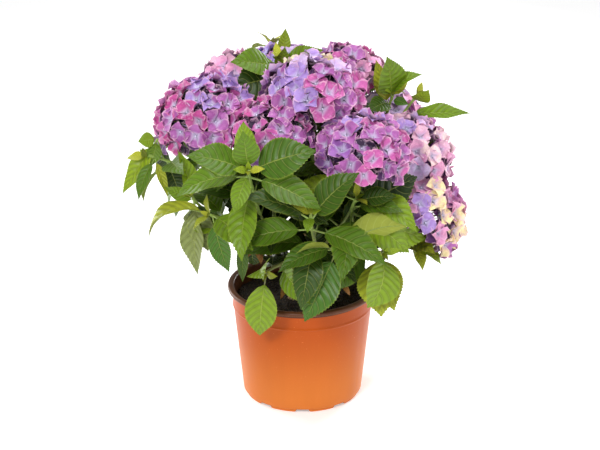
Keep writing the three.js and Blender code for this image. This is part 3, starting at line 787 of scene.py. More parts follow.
def closed_blade(name, rows_at, upper_columns, lower_columns, point_at, thickness):
    """A thin closed sheet. Its blade map has the upper face below 0.5 and the lower one above."""
    points, faces = [], []

    def row(i, s, columns, lower):
        made = []
        for across in columns:
            if lower and abs(across) == 1:
                made.append(upper_rows[i][0 if across < 0 else -1])
                continue
            x, y, z = point_at(s, across, i, lower)
            points.append((x, y, z - thickness * lower * (1 + 2 * (across == 0) * (1 - s))))
            made.append(len(points) - 1)
        return made

    upper_rows = [row(i, s, upper_columns, False) for i, s in enumerate(rows_at)]
    lower_rows = [row(i, s, lower_columns, True) for i, s in enumerate(rows_at)]
    points.append(point_at(1, 0, 0, False))
    tip = len(points) - 1
    sides = ((upper_rows, upper_columns, UPPER_FACE_AT, 1), (lower_rows, lower_columns, LOWER_FACE_AT, -1))
    for rows, columns, base, way in sides:
        spots = [[(s, base + HALF_FACE * across) for across in columns] for s in rows_at]
        for i in range(len(rows) - 1):
            for j in range(len(columns) - 1):
                ring = [(i, j), (i + 1, j), (i + 1, j + 1), (i, j + 1)][::way]
                faces.append(([rows[k][m] for k, m in ring], [spots[k][m] for k, m in ring]))
        for j in range(len(columns) - 1):
            ring = [(rows[-1][j], spots[-1][j]), (tip, (1, base)), (rows[-1][j + 1], spots[-1][j + 1])][::way]
            faces.append(([p for p, _ in ring], [uv for _, uv in ring]))
    heel = upper_rows[0] + lower_rows[0][1:-1][::-1]
    faces.append((heel, [(0, UPPER_FACE_AT)] * len(heel)))
    mesh = bare_mesh(name, points, faces=[corners for corners, _ in faces])
    mesh.polygons.foreach_set("use_smooth", [True] * len(faces))
    mesh.uv_layers.new(name="blade").data.foreach_set("uv", np.ravel([uv for _, spot in faces for uv in spot]))
    give(mesh, "local", VECTOR, points)
    edge_points = {side: [row[side] for row in upper_rows] + [tip] for side in (0, -1)}
    rims = {frozenset(pair) for line in edge_points.values() for pair in zip(line, line[1:])}
    for edge in mesh.edges:
        edge.use_edge_sharp = frozenset(edge.vertices) in rims
    return bpy.data.objects.new(name, mesh)


print("the faces lie at", UPPER_FACE_AT, "and", LOWER_FACE_AT, "of the blade map")

# %% [markdown]
# ## The blades to copy
# Six blades are enough for all the leaves, because each copy is bent, twisted and widened in its own way.
# The large leaves get fine teeth and swelling between their veins. The hidden and the small ones are coarser,
# which saves triangles where nobody sees them.

# %% Leaf blades
def leaf_blade(name, stations, upper_columns, lower_columns, wide, ripple, phase):
    """A serrated blade, one length long."""
    def point_at(s, across, i, lower):
        return blade_point(s, across, wide, ripple, phase, float(abs(across) == 1 and i % 2), lower)

    return closed_blade(name, [i / stations for i in range(stations)], upper_columns, lower_columns, point_at, 0.004)


COLUMNS = (-1, -0.5, 0, 0.5, 1)
FINE_COLUMNS = (-1, -0.72, -0.45, -0.2, 0, 0.2, 0.45, 0.72, 1)
# After its columns, each blade says how wide it is, how much it ripples and where its ripple starts.
blades = [
    leaf_blade("broad_blade", 40, FINE_COLUMNS, COLUMNS, 1.08, 0.016, 0.4),
    leaf_blade("wavy_blade", 40, FINE_COLUMNS, COLUMNS, 1.0, 0.022, 2.1),
    leaf_blade("slim_blade", 40, FINE_COLUMNS, COLUMNS, 0.92, 0.018, 4.4),
]
plain_blades = [
    leaf_blade("broad_plain_blade", 20, COLUMNS, COLUMNS, 1.0, 0.016, 0.4),
    leaf_blade("wavy_plain_blade", 20, COLUMNS, COLUMNS, 0.94, 0.022, 2.1),
]
young_blades = [leaf_blade("young_blade", 14, COLUMNS, COLUMNS, 0.86, 0.02, 1.0)]
print("one blade has", len(blades[0].data.polygons), "faces")

# %% [markdown]
# ## Shades of green
# Old leaves low on a shoot are a darker green, and the ones at its tip are a young yellow-green. The darkest
# greens are also painted shade on leaves deep in the plant, and on some leaves a pale yellow-green is painted
# light that comes through them. Sixteen greens are mixed and dealt out, one to a leaf, in a 4 by 4 chart.
# The chart also gives each shade its own square in the map that is stored for baking.

# %% Leaf shades
LEAF_SHADES = [linear(*c) for c in (
    (30, 48, 12), (38, 58, 14), (46, 70, 16), (54, 80, 18),
    (62, 92, 20), (74, 104, 20), (86, 116, 22), (62, 98, 26),
    (98, 126, 22), (110, 136, 24), (126, 148, 28), (88, 116, 38),
    (146, 154, 40), (166, 170, 48), (140, 92, 44), (116, 126, 70),
)]
# The older pairs get darker greens: partly their own colour, partly painted shade, as they lie deeper in the plant.
SHADES_BY_AGE = [(8, 9, 10, 12, 9), (5, 6, 8, 9, 6), (4, 5, 6, 2, 8), (1, 2, 4, 5), (0, 1, 2, 3)]
shade_draw = seeded_numbers(41)


def shade_of(leaf):
    """The number of a leaf's shade, by its age on the shoot: the older pairs' darker greens are partly painted shade.
    """
    age = min(leaf["pair"] + (1 if leaf["flowering"] else 0), len(SHADES_BY_AGE) - 1)
    choice = SHADES_BY_AGE[age]
    return choice[int(shade_draw() * len(choice))]


for leaf in LEAVES:
    leaf["shade"] = shade_of(leaf)
print("leaves of each shade:", np.bincount([leaf["shade"] for leaf in LEAVES], minlength=16))

# %% [markdown]
# ## Steps that the trees share
# Leaves and sepals are both grown by a tree of Geometry Nodes, which sets a copy on each point, shapes it,
# maps it for baking and gives it its material. What is the same for both is made once, as functions that
# add their nodes to any tree.

# %% Steps that the trees share
TILES = 4


def chart_square(shade):
    """The lower left corner of a shade's square in the chart."""
    return ((shade % TILES) / TILES, (shade // TILES) / TILES)


def store_chart_map(tree, geometry):
    """Stores the map for baking: the blade map, shrunk into the shade's own square of the chart."""
    blade = attribute(tree, "blade", VECTOR)
    small = scaled(tree, blade.outputs["Attribute"], 1 / TILES)
    placed = vector_calc(tree, "ADD", small, attribute(tree, "square", VECTOR).outputs["Attribute"])
    return add(tree, "GeometryNodeStoreNamedAttribute", {"Geometry": geometry, "Name": "OFBake", "Value": placed},
               data_type="FLOAT2", domain="CORNER")


def place_prototypes(tree, points, prototypes):
    """One of the prototypes on each point, by the point's kind, made real."""
    choices = tree.nodes.new("GeometryNodeJoinGeometry")
    for prototype in reversed(prototypes):
        source = add(tree, "GeometryNodeObjectInfo", {"Object": prototype, "As Instance": True})
        tree.links.new(source.outputs["Geometry"], choices.inputs[0])
    placed = add(tree, "GeometryNodeInstanceOnPoints", {
        "Points": points, "Instance": choices, "Pick Instance": True,
        "Instance Index": attribute(tree, "kind", "INT").outputs["Attribute"]})
    return add(tree, "GeometryNodeRealizeInstances", {"Geometry": placed})


def finish_tree(tree, geometry, entry, exit_node):
    """The tree's last two steps: real geometry and the piece's material."""
    real = add(tree, "GeometryNodeRealizeInstances", {"Geometry": geometry})
    dressed = add(tree, "GeometryNodeSetMaterial", {"Geometry": real, "Material": entry.outputs["Material"]})
    plug(tree, exit_node.inputs[0], dressed)
    print(tree.name, "has", len(tree.nodes), "nodes")


print("the chart has", TILES * TILES, "squares")

# %% [markdown]
# ## Growing leaves with Geometry Nodes
# A bare mesh has one point for each leaf, and the point carries where the leaf starts, how it lies and
# how it arches. The tree puts a blade on each point and then moves every point of it by sums on those
# numbers, so the blade follows an arc instead of lying flat. Turning an instance couldn't do that.

# %% The leaf tree
def leaf_tree(prototypes):
    """Grows an arched leaf on each point."""
    tree, entry, exit_node = new_tree("grow_leaves", {"Stalk Share": "Float", "Material": "Material"})
    real = place_prototypes(tree, entry.outputs["Geometry"], prototypes)
    read = read_attributes(tree, ("local", "way", "upper"), ("blade_length", "arch", "twist", "wide"))
    local = add(tree, "ShaderNodeSeparateXYZ", {0: read["local"]})
    along, across, up = local.outputs
    across = times(tree, across, read["wide"])
    # the leaf turns a little about its midrib on the way to its tip
    turn = times(tree, read["twist"], along)
    cosine, sine = calc(tree, "COSINE", turn), calc(tree, "SINE", turn)
    flat = calc(tree, "SUBTRACT", times(tree, across, cosine), times(tree, up, sine))
    raised = calc(tree, "ADD", times(tree, across, sine), times(tree, up, cosine))
    bend = times(tree, read["arch"], along)
    reach = calc(tree, "DIVIDE", read["blade_length"], read["arch"])
    ahead = times(tree, reach, calc(tree, "SINE", bend))
    ahead = calc(tree, "ADD", ahead, times(tree, read["blade_length"], entry.outputs["Stalk Share"]))
    sunk = times(tree, reach, calc(tree, "SUBTRACT", 1.0, calc(tree, "COSINE", bend)))
    normal = vector_calc(tree, "ADD", scaled(tree, read["upper"], calc(tree, "COSINE", bend)),
                         scaled(tree, read["way"], calc(tree, "SINE", bend)))
    side = vector_calc(tree, "CROSS_PRODUCT", read["upper"], read["way"])
    middle = vector_calc(tree, "SUBTRACT", scaled(tree, read["way"], ahead), scaled(tree, read["upper"], sunk))
    off = vector_calc(tree, "ADD", scaled(tree, side, times(tree, flat, read["blade_length"])),
                      scaled(tree, normal, times(tree, raised, read["blade_length"])))
    root = attribute(tree, "root", VECTOR).outputs["Attribute"]
    spot = vector_calc(tree, "ADD", root, vector_calc(tree, "ADD", middle, off))
    shaped = add(tree, "GeometryNodeSetPosition", {"Geometry": real, "Position": spot})
    finish_tree(tree, store_chart_map(tree, shaped), entry, exit_node)
    return tree


def leaf_points(name, leaves, kinds):
    """The bare mesh that the leaf tree reads, in metres."""
    mesh = bare_mesh(name, [(0, 0, 0)] * len(leaves))
    draw = seeded_numbers(52)
    give(mesh, "root", VECTOR, [leaf["root"] * MM for leaf in leaves])
    give(mesh, "way", VECTOR, [leaf["way"] for leaf in leaves])
    give(mesh, "upper", VECTOR, [leaf["upper"] for leaf in leaves])
    give(mesh, "blade_length", "FLOAT", [leaf["length"] * MM for leaf in leaves])
    give(mesh, "arch", "FLOAT", [leaf["arch"] for leaf in leaves])
    give(mesh, "twist", "FLOAT", [math.radians(-16 + 32 * draw()) for _ in leaves])
    give(mesh, "kind", "INT", [int(draw() * kinds) for _ in leaves])
    give(mesh, "wide", "FLOAT", [leaf.get("wide", 1.0) * (0.94 + 0.16 * draw()) for leaf in leaves])
    give(mesh, "square", VECTOR, [(*chart_square(leaf["shade"]), 0) for leaf in leaves])
    give(mesh, "tint", "FLOAT_COLOR", [LEAF_SHADES[leaf["shade"]] for leaf in leaves])
    return mesh


print("a leaf's stalk takes", PETIOLE, "of its blade's length")

# %% [markdown]
# ## Shared effects for the materials
# Three effects are used by several finishes, so each is a node group that can be placed again. The first
# is a soft mottle, which keeps any surface from being one flat colour. It is a cloudy noise that makes
# the colour a little lighter here and darker there.

# %% Mottle
def noise(tree, vector, scale, detail, roughness=0.5):
    """A cloudy number that changes from place to place, mostly between 0.3 and 0.7."""
    values = {"Vector": vector, "Scale": scale, "Detail": detail, "Roughness": roughness}
    return add(tree, "ShaderNodeTexNoise", values).outputs["Fac"]


def shader_group(name, inputs, outputs):
    """An empty shader group with named sockets."""
    group = bpy.data.node_groups.new(name, "ShaderNodeTree")
    for label, kind in inputs.items():
        group.interface.new_socket(label, in_out="INPUT", socket_type="NodeSocket" + kind)
    for label, kind in outputs.items():
        group.interface.new_socket(label, in_out="OUTPUT", socket_type="NodeSocket" + kind)
    return group, group.nodes.new("NodeGroupInput").outputs, group.nodes.new("NodeGroupOutput").inputs


mottle, given, result = shader_group(
    "mottle", {"Color": "Color", "Vector": "Vector", "Scale": "Float", "Amount": "Float"},
    {"Color": "Color", "Value": "Float"})
cloud = noise(mottle, given["Vector"], given["Scale"], 4.0, 0.55)
lighter = calc(mottle, "MULTIPLY_ADD", calc(mottle, "SUBTRACT", cloud, 0.5), given["Amount"], 1.0)
plug(mottle, result["Color"], scaled(mottle, given["Color"], lighter))
plug(mottle, result["Value"], cloud)
print(mottle.name, "has", len(mottle.nodes), "nodes")

# %% [markdown]
# ## Veins
# A midrib runs from foot to tip, and pairs of side veins sweep forwards from it, a little apart on the two
# sides. They could be painted, but sums on the blade map draw them on any leaf or sepal. The group also puts
# out a height, because the blade swells between its veins.

# %% Veins
veins, given, result = shader_group(
    "veins", {"Along": "Float", "Across": "Float", "Pairs": "Float", "Sweep": "Float"},
    {"Midrib": "Float", "Side Veins": "Float", "Height": "Float"})
aside = calc(veins, "ABSOLUTE", given["Across"])
on_left = calc(veins, "LESS_THAN", given["Across"], 0.0)
curved = times(veins, given["Sweep"], calc(veins, "POWER", aside, SWEEP_BEND))
swept = calc(veins, "SUBTRACT", given["Along"], curved)
phase = calc(veins, "ADD", times(veins, swept, given["Pairs"]), times(veins, on_left, 0.5))
from_vein = calc(veins, "PINGPONG", phase, 0.5)
midrib_width = calc(veins, "MULTIPLY_ADD", given["Along"], -0.035, 0.055)
midrib = calc(veins, "SUBTRACT", 1.0, calc(veins, "DIVIDE", aside, midrib_width), clamp=True)
vein_line = between(veins, from_vein, 0.0, 0.085, 1.0, 0.0)
faded = times(veins, vein_line.outputs[0], between(veins, aside, 0.7, 1.0, 1.0, 0.2).outputs[0])
swelling = calc(veins, "POWER", times(veins, from_vein, 2.0), 0.6)
groove = calc(veins, "SUBTRACT", swelling, times(veins, midrib, 0.9))
plug(veins, result["Midrib"], midrib)
plug(veins, result["Side Veins"], faded)
plug(veins, result["Height"], groove)
print(veins.name, "has", len(veins.nodes), "nodes")

# %% [markdown]
# ## Specks
# Dust, bark and peat are full of fine specks of another colour. A fine noise stands above a limit at only
# a few spots, and there the speck's colour shows. Share says how much of the surface they cover.

# %% Specks
specks, given, result = shader_group(
    "specks", {"Color": "Color", "Speck Color": "Color", "Vector": "Vector", "Scale": "Float", "Share": "Float"},
    {"Color": "Color"})
grit = noise(specks, given["Vector"], given["Scale"], 2.0)
is_speck = calc(specks, "GREATER_THAN", grit, calc(specks, "SUBTRACT", 1.0, given["Share"]))
plug(specks, result["Color"], mixed(specks, is_speck, given["Color"], given["Speck Color"]))
print(specks.name, "has", len(specks.nodes), "nodes")

# %% [markdown]
# ## How a finish is put together
# Every finish below is one material with one shader. It starts from where a point is, makes a colour, a
# roughness and a relief from that, and plugs them in at its end.

# %% Finish helpers
def new_finish(name):
    """A material, its node tree and its one shader."""
    finish = bpy.data.materials.new(name)
    finish.use_nodes = True
    return finish, finish.node_tree, finish.node_tree.nodes["Principled BSDF"]


def use_group(tree, group, inputs):
    """A shader group placed in a material."""
    node = tree.nodes.new("ShaderNodeGroup")
    node.node_tree = group
    for key, value in inputs.items():
        plug(tree, node.inputs[key], value)
    return node


def object_spot(tree):
    """Where a point is on the whole object, in metres."""
    return add(tree, "ShaderNodeTexCoord").outputs["Object"]


def surface(tree, shader, color, roughness, height, strength, distance):
    """The end of a finish: its colour, its roughness, and a relief that is only shaded."""
    plug(tree, shader.inputs["Base Color"], color)
    plug(tree, shader.inputs["Roughness"], roughness)
    relief = add(tree, "ShaderNodeBump", {"Height": height, "Strength": strength, "Distance": distance})
    plug(tree, shader.inputs["Normal"], relief)
    print("this finish has", len(tree.nodes), "nodes")


print("groups that finishes can use:", [group.name for group in (mottle, veins, specks)])

# %% [markdown]
# ## The leaf's finish
# One material does both faces of a leaf. The blade map tells them apart: the upper face lies below 0.5
# and the lower face above. The upper face is satin with pale sunken veins. The lower face is paler and
# matt, and its veins stand out.

# %% Leaf finish
def blade_readings(tree):
    """Where a point is on its blade: along it, across it from -1 to 1, and whether on the lower face."""
    blade = add(tree, "ShaderNodeSeparateXYZ", {0: add(tree, "ShaderNodeUVMap", uv_map="blade").outputs["UV"]})
    below = calc(tree, "GREATER_THAN", blade.outputs["Y"], 0.5)
    midrib_at = calc(tree, "MULTIPLY_ADD", below, LOWER_FACE_AT - UPPER_FACE_AT, UPPER_FACE_AT)
    centred = calc(tree, "SUBTRACT", blade.outputs["Y"], midrib_at)
    return blade.outputs["X"], calc(tree, "DIVIDE", centred, HALF_FACE).outputs[0], below.outputs[0]


leaf_finish, tree, shader = new_finish("leaf")
along, across, below = blade_readings(tree)
tint = add(tree, "ShaderNodeAttribute", attribute_name="tint").outputs["Color"]
pattern = use_group(tree, veins, {"Along": along, "Across": across, "Pairs": float(SIDE_VEINS), "Sweep": SWEEP})
spot = add(tree, "ShaderNodeCombineXYZ", {"X": along, "Y": times(tree, across, 0.3), "Z": below})
cloudy = use_group(tree, mottle, {"Color": tint, "Vector": spot, "Scale": 9.0, "Amount": 0.55})
# Painted shade and light: the colour is darkened in the vein grooves and lightened on the swellings between them.
relief = between(tree, pattern.outputs["Height"], 0.0, 1.0, 0.66, 1.14)
body = scaled(tree, cloudy.outputs["Color"], relief.outputs[0])
pale_vein = mixed(tree, 0.5, tint, linear(190, 200, 96))
body = mixed(tree, times(tree, pattern.outputs["Side Veins"], 0.4), body, pale_vein)
body = mixed(tree, times(tree, pattern.outputs["Midrib"], 0.9), body, pale_vein)
rim = between(tree, calc(tree, "ABSOLUTE", across), 0.9, 1.0)
body = mixed(tree, times(tree, rim.outputs[0], 0.3), body, linear(160, 170, 60))
under = mixed(tree, 0.5, cloudy.outputs["Color"], linear(132, 142, 68))
under = mixed(tree, times(tree, pattern.outputs["Side Veins"], 0.5), under, linear(164, 172, 92))
under = mixed(tree, pattern.outputs["Midrib"], under, linear(180, 188, 106))
fine = noise(tree, spot, 55.0, 2.0)
raised = times(tree, pattern.outputs["Height"], calc(tree, "MULTIPLY_ADD", below, -1.6, 1.0))
height = calc(tree, "MULTIPLY_ADD", fine, 0.25, raised)
satin_or_matt = between(tree, below, 0.0, 1.0, 0.38, 0.72)
surface(tree, shader, mixed(tree, below, body, under), satin_or_matt, height, 0.55, 0.0012)
shader.inputs["Specular IOR Level"].default_value = 0.24

# %% [markdown]
# ## The leaves grow
# Now the blades, the places and the finish come together. The outer leaves are one piece and the inner
# ones another, so that none gets too heavy.

# %% Leaves
leaf_values = {"Stalk Share": PETIOLE, "Material": leaf_finish}
outer_points = leaf_points("leaf_points", LEAVES + AIMED, len(blades))
leaves = grown("leaves", outer_points, leaf_tree(blades), leaf_values)
inner_points = leaf_points("inner_leaf_points", INNER_LEAVES, len(plain_blades))
inner_leaf_piece = grown("inner_leaves", inner_points, leaf_tree(plain_blades), leaf_values)

# %% [markdown]
# ## Young leaves at the tips, dry ones low down
# A leafy shoot ends in a bud: a few small leaves that still stand nearly upright and are a bright
# yellow-green. They grow by the same rule as the large ones, with a coarser blade. Low in the plant a few
# leaves have withered to brown scraps, and they are the same blade, short and curled.

# %% Young and dry leaves
def young_leaves():
    """Two small pairs at the tip of each leafy shoot."""
    draw = seeded_numbers(63)
    made = []
    for group in SHOOTS.values():
        for shoot in (s for s in group if "name" not in s):
            tip, way = shoot["curve"].point(1), shoot["curve"].way(1)
            level = square_to(way, Vector((1, 0, 0)) if abs(way.z) > 0.98 else UP)
            for pair, (length, spread) in enumerate(((30, 38), (17, 20))):
                for half in (0, 180):
                    turned = math.radians(shoot["turn"] + 90 + pair * 90 + half + 16 * (draw() - 0.5))
                    outward = level * math.cos(turned) + way.cross(level) * math.sin(turned)
                    tilt = math.radians(spread + 10 * (draw() - 0.5))
                    heads = (way * math.cos(tilt) + outward * math.sin(tilt)).normalized()
                    made.append(dict(
                        root=tip, way=heads, upper=square_to(heads, way - outward), arch=0.25 + 0.4 * draw(),
                        length=length * (0.85 + 0.3 * draw()), shade=(12, 13, 10, 13)[int(draw() * 4)]))
    return made


DRY_BROWN = 14
# Where each scrap starts and where it ends, in millimetres.
DRY_LEAVES = [leaf_between(Vector(start), end, DRY_BROWN, 100, (0.3, -1, 0.4), 0.8) for start, end in (
    ((-78, -104, 300), (-84, -112, 276)), ((-74, -106, 296), (-68, -114, 272)),
    ((-84, -100, 292), (-92, -108, 266)), ((-70, -100, 284), (-64, -110, 262)),
    ((60, -70, 214), (74, -80, 196)), ((-30, -60, 206), (-36, -78, 188)),
)]
small_points = leaf_points("young_points", young_leaves() + DRY_LEAVES, len(young_blades))
small_values = {"Stalk Share": 0.12, "Material": leaf_finish}
young = grown("young_leaves", small_points, leaf_tree(young_blades), small_values)

# %% [markdown]
# ## Stalks
# Shoots, leaf stalks and flower stalks are all tubes that follow a line and change in thickness. Each
# line is a chain of edges whose points carry the stalk's radius. Curve to Mesh sweeps a ring along
# it, and a little noise pushes the skin in and out.

# %% The stalk tree
def stalk_tree():
    """Sweeps a ring along every line, as thick as its points say."""
    tree, entry, exit_node = new_tree("grow_stalks", {
        "Sides": "Int", "Relief": "Float", "Relief Scale": "Float", "Stretch": "Float", "Material": "Material"})
    lines = add(tree, "GeometryNodeMeshToCurve", {"Mesh": entry.outputs["Geometry"]})
    ring = add(tree, "GeometryNodeCurvePrimitiveCircle", {"Resolution": entry.outputs["Sides"], "Radius": 1.0})
    thick = attribute(tree, "thick").outputs["Attribute"]
    tubes = add(tree, "GeometryNodeCurveToMesh", {
        "Curve": lines, "Profile Curve": ring.outputs["Curve"], "Scale": thick, "Fill Caps": True})
    place = add(tree, "ShaderNodeSeparateXYZ", {0: add(tree, "GeometryNodeInputPosition")})
    drawn_out = add(tree, "ShaderNodeCombineXYZ", {
        "X": place.outputs["X"], "Y": place.outputs["Y"],
        "Z": times(tree, place.outputs["Z"], entry.outputs["Stretch"])})
    grain = noise(tree, drawn_out, entry.outputs["Relief Scale"], 2.0)
    push = times(tree, calc(tree, "SUBTRACT", grain, 0.5), entry.outputs["Relief"])
    normal = add(tree, "GeometryNodeInputNormal").outputs["Normal"]
    rough = add(tree, "GeometryNodeSetPosition", {"Geometry": tubes, "Offset": scaled(tree, normal, push)})
    smooth = add(tree, "GeometryNodeSetShadeSmooth", {"Geometry": rough, "Shade Smooth": True})
    finish_tree(tree, smooth, entry, exit_node)
    return tree


def stalk_lines(name, stalks):
    """A bare mesh of lines. A stalk is a list of points with a radius each, in millimetres."""
    points, thick, edges = [], [], []
    for stalk in stalks:
        first = len(points)
        points += [point * MM for point, _ in stalk]
        thick += [radius * MM for _, radius in stalk]
        edges += [(i, i + 1) for i in range(first, len(points) - 1)]
    mesh = bare_mesh(name, points, edges)
    give(mesh, "thick", "FLOAT", thick)
    return mesh


grow_stalks = stalk_tree()

# %% [markdown]
# ## How thick a shoot is
# A shoot thins towards its tip and swells a little where each pair of leaves sits. A leaf's stalk goes on
# under the blade as its midrib, nearly to the tip, and gets thinner all the way.

# %% Lines for shoots and leaf stalks
ALONG_MIDRIB = (0.01, 0.15, 0.3, 0.45, 0.6, 0.75, 0.9)


def shoot_line(shoot):
    """A shoot swells at each pair of leaves and thins to its tip."""
    length = shoot["curve"].length
    knots = [length - shoot["first"] - pair * PAIRS_APART for pair in range(len(shoot["pairs"]))]
    steps = max(int(length / 5), 8)
    line = []
    for i in range(steps + 1):
        walked = length * i / steps
        swelling = sum(math.exp(-((walked - knot) / 3.2) ** 2) for knot in knots)
        line.append((shoot["curve"].point(i / steps), 3.0 - 0.9 * i / steps + 0.8 * swelling))
    return line


def leaf_stalk(leaf):
    """A leaf's stalk and the midrib that goes on under its blade."""
    size = leaf["length"] / 100
    foot = leaf_spine(leaf, 0, 0.6)
    stalk = [(leaf["root"].lerp(foot, t), (1.9 - 0.7 * t) * size) for t in (0, 0.3, 0.65)]
    return stalk + [(leaf_spine(leaf, s, 0.75 - 0.35 * s), (1.15 - 1.0 * s) * size) for s in ALONG_MIDRIB]


print("a shoot's line has", len(shoot_line(SHOOTS["middle"][0])), "points")

# %% [markdown]
# ## The green skin of stems
# This year's stems are green, a fresher green higher up, and freckled with dull red. The height above the
# floor mixes the two greens, and the specks group puts the freckles on.

# %% Stem finish
stem_finish, tree, shader = new_finish("green_stem")
spot = object_spot(tree)
height = add(tree, "ShaderNodeSeparateXYZ", {0: spot}).outputs["Z"]
young_share = between(tree, height, 0.24, 0.40)
stem_color = mixed(tree, young_share, linear(118, 122, 66), linear(132, 160, 72))
cloudy = use_group(tree, mottle, {"Color": stem_color, "Vector": spot, "Scale": 140.0, "Amount": 0.5})
freckled = use_group(tree, specks, {
    "Color": cloudy.outputs["Color"], "Speck Color": linear(122, 60, 58),
    "Vector": spot, "Scale": 900.0, "Share": 0.36})
stem_gloss = between(tree, cloudy.outputs["Value"], 0.3, 0.7, 0.4, 0.6)
surface(tree, shader, freckled.outputs["Color"], stem_gloss, cloudy.outputs["Value"], 0.4, 0.0008)

# %% [markdown]
# ## Shoots, twigs and leaf stalks
# Every shoot and every leaf stalk gets its line, and one tree sweeps them all. A few bare twigs at the
# left have lost their leaves. They are listed point by point, because no rule of growth gives them.

# %% Shoots and leaf stalks
# Bare forked twigs at the left, from which old leaves have dropped.
BARE_TWIGS = [[(Vector(spot), radius) for spot, radius in twig] for twig in (
    (((-52, -78, 262), 1.5), ((-58, -110, 296), 1.4), ((-64, -132, 330), 1.2), ((-70, -138, 346), 1.6)),
    (((-64, -132, 330), 1.2), ((-58, -140, 344), 1.0), ((-48, -142, 346), 1.3)),
    (((-58, -110, 296), 1.2), ((-72, -118, 300), 1.0), ((-86, -122, 312), 1.2)),
)]
side_twig = [(Vector(spot), 1.5) for spot in SIDE_TWIG]
all_shoots = [shoot_line(shoot) for group in SHOOTS.values() for shoot in group] + BARE_TWIGS + [side_twig]
shoots = grown("green_shoots", stalk_lines("shoot_lines", all_shoots), grow_stalks,
               {"Sides": 8, "Relief": 0.0007, "Relief Scale": 260.0, "Stretch": 0.5, "Material": stem_finish})
all_leaf_stalks = [leaf_stalk(leaf) for leaf in LEAVES + AIMED + INNER_LEAVES]
leaf_stalks = grown("leaf_stalks", stalk_lines("leaf_stalk_lines", all_leaf_stalks), grow_stalks,
                    {"Sides": 6, "Relief": 0.0, "Relief Scale": 100.0, "Stretch": 1.0, "Material": stem_finish})

# %% [markdown]
# ## Bark
# Last year's wood is pale brown and flakes in long strips. A noise that is drawn out upwards gives the
# strips, and it makes both the colour and the relief, so the two agree.

# %% Bark finish
bark, tree, shader = new_finish("bark")
spot = object_spot(tree)
long_grain = add(tree, "ShaderNodeMapping", {"Vector": spot, "Scale": (1, 1, 0.16)})
strips = noise(tree, long_grain, 420.0, 5.0, 0.6)
wood = mixed(tree, between(tree, strips, 0.38, 0.62), linear(72, 52, 36), linear(158, 130, 92))
freckled = use_group(tree, specks, {
    "Color": wood, "Speck Color": linear(196, 176, 140), "Vector": spot, "Scale": 700.0, "Share": 0.34})
surface(tree, shader, freckled.outputs["Color"], between(tree, strips, 0.3, 0.7, 0.75, 0.92), strips, 0.8, 0.0016)

# %% [markdown]
# ## Canes
# The canes are swept like the shoots, with more relief that is drawn out along the wood. Each has a knot
# about halfway, and ends in a stump that closes the fork.

# %% Canes
CANE_STEPS, KNOT_STEP = 16, 9
STUMP = ((3, 4.4), (6.5, 3.6), (9, 2.2))


def cane_line(cane):
    """A cane from inside the foot's head, past its fork to where the shoots part."""
    curve = cane_curve(cane)
    line = []
    for i in range(CANE_STEPS + 1):
        knot = math.exp(-(((i - KNOT_STEP) / 1.2) ** 2))
        line.append((curve.point(i / CANE_STEPS), 4.8 - 1.0 * i / CANE_STEPS + 0.7 * knot))
    return line + [(curve.point(1) + curve.way(1) * ahead, radius) for ahead, radius in STUMP]


canes = grown("woody_canes", stalk_lines("cane_lines", [cane_line(cane) for cane in CANES.values()]), grow_stalks,
              {"Sides": 14, "Relief": 0.0022, "Relief Scale": 300.0, "Stretch": 0.2, "Material": bark})

# %% [markdown]
# ## A lathe, and the woody foot
# A pot and a stump are round, so both are turned on a lathe: a profile is swept round the axis, and a
# function may push each point out of round. On the foot it makes root flare and knots.

# %% Lathe and foot
def lathe(profile, sides, reshape=lambda radius, z, turned: (radius, z)):
    """A closed body of revolution in millimetres. The profile starts and ends on the axis."""
    rings = profile[1:-1]
    points = []
    for radius, z in rings:
        for k in range(sides):
            turned = 2 * math.pi * k / sides
            r, h = reshape(radius, z, turned)
            points.append((r * math.cos(turned), r * math.sin(turned), h))
    low, high = len(points), len(points) + 1
    points += [(0, 0, reshape(0, profile[0][1], 0)[1]), (0, 0, reshape(0, profile[-1][1], 0)[1])]
    faces = [(i * sides + k, i * sides + (k + 1) % sides, (i + 1) * sides + (k + 1) % sides, (i + 1) * sides + k)
             for i in range(len(rings) - 1) for k in range(sides)]
    last = (len(rings) - 1) * sides
    faces += [(low, (k + 1) % sides, k) for k in range(sides)]
    faces += [(high, last + k, last + (k + 1) % sides) for k in range(sides)]
    return [tuple(c * MM for c in p) for p in points], faces


FOOT_PROFILE = [
    (0, -2), (23, -2), (25, 0), (22, 3), (18, 7), (15.2, 12), (14.2, 19), (14.8, 26), (16, 33), (14, 39),
    (10, 43), (4, 45), (0, 45),
]


def gnarl(radius, z, turned):
    """Root flare at the bottom and knots at the head of the foot."""
    flare = 0.13 * math.cos(5 * turned + 0.6) * max(1 - z / 14, 0)
    knots = 0.09 * math.sin(3 * turned + z * 0.21) + 0.05 * math.sin(8 * turned - z * 0.3)
    return radius * (1 + flare + knots), z + SOIL_TOP + 0.3


foot_points, foot_faces = lathe(FOOT_PROFILE, 56, gnarl)
foot = show("woody_foot_bark", bare_mesh("woody_foot_bark", foot_points, faces=foot_faces))
foot.data.materials.append(bark)
print("woody foot:", len(foot_faces), "faces")

# %% [markdown]
# ## Florets
# Each head is a ball of sterile florets. A floret is four broad sepals round a bead, and the sepals
# overlap the ones of its neighbours, so the head reads as one ruffled mass. A sepal is made once as a
# thin closed sheet with lifted edges. The tree leans it, lifts it and sets it round its floret.

# %% Sepals
def sepal_shape(name, crest, phase):
    """A sepal one floret radius long, cupped, with an uneven edge."""
    def point_at(s, across, i, lower):
        half = 0.62 * max(math.sin(math.pi * min(s, 1) ** 1.08), 0.02) ** 0.78
        edge = 0.10 * s * math.sin(9 * s + phase + 2 * across) * across**2
        lift = crest * across**2 * 1.5 * s * (1 - 0.35 * s) + 0.11 * math.sin(math.pi * s) - 0.10 * s * s
        aside = half * across * (1 - 0.06 * across**2)
        return (0.04 + 0.96 * s, aside, lift + edge + 0.03 * math.sin(5 * s + phase))

    return closed_blade(name, [0.03, 0.32, 0.6, 0.84], COLUMNS, COLUMNS, point_at, 0.012)


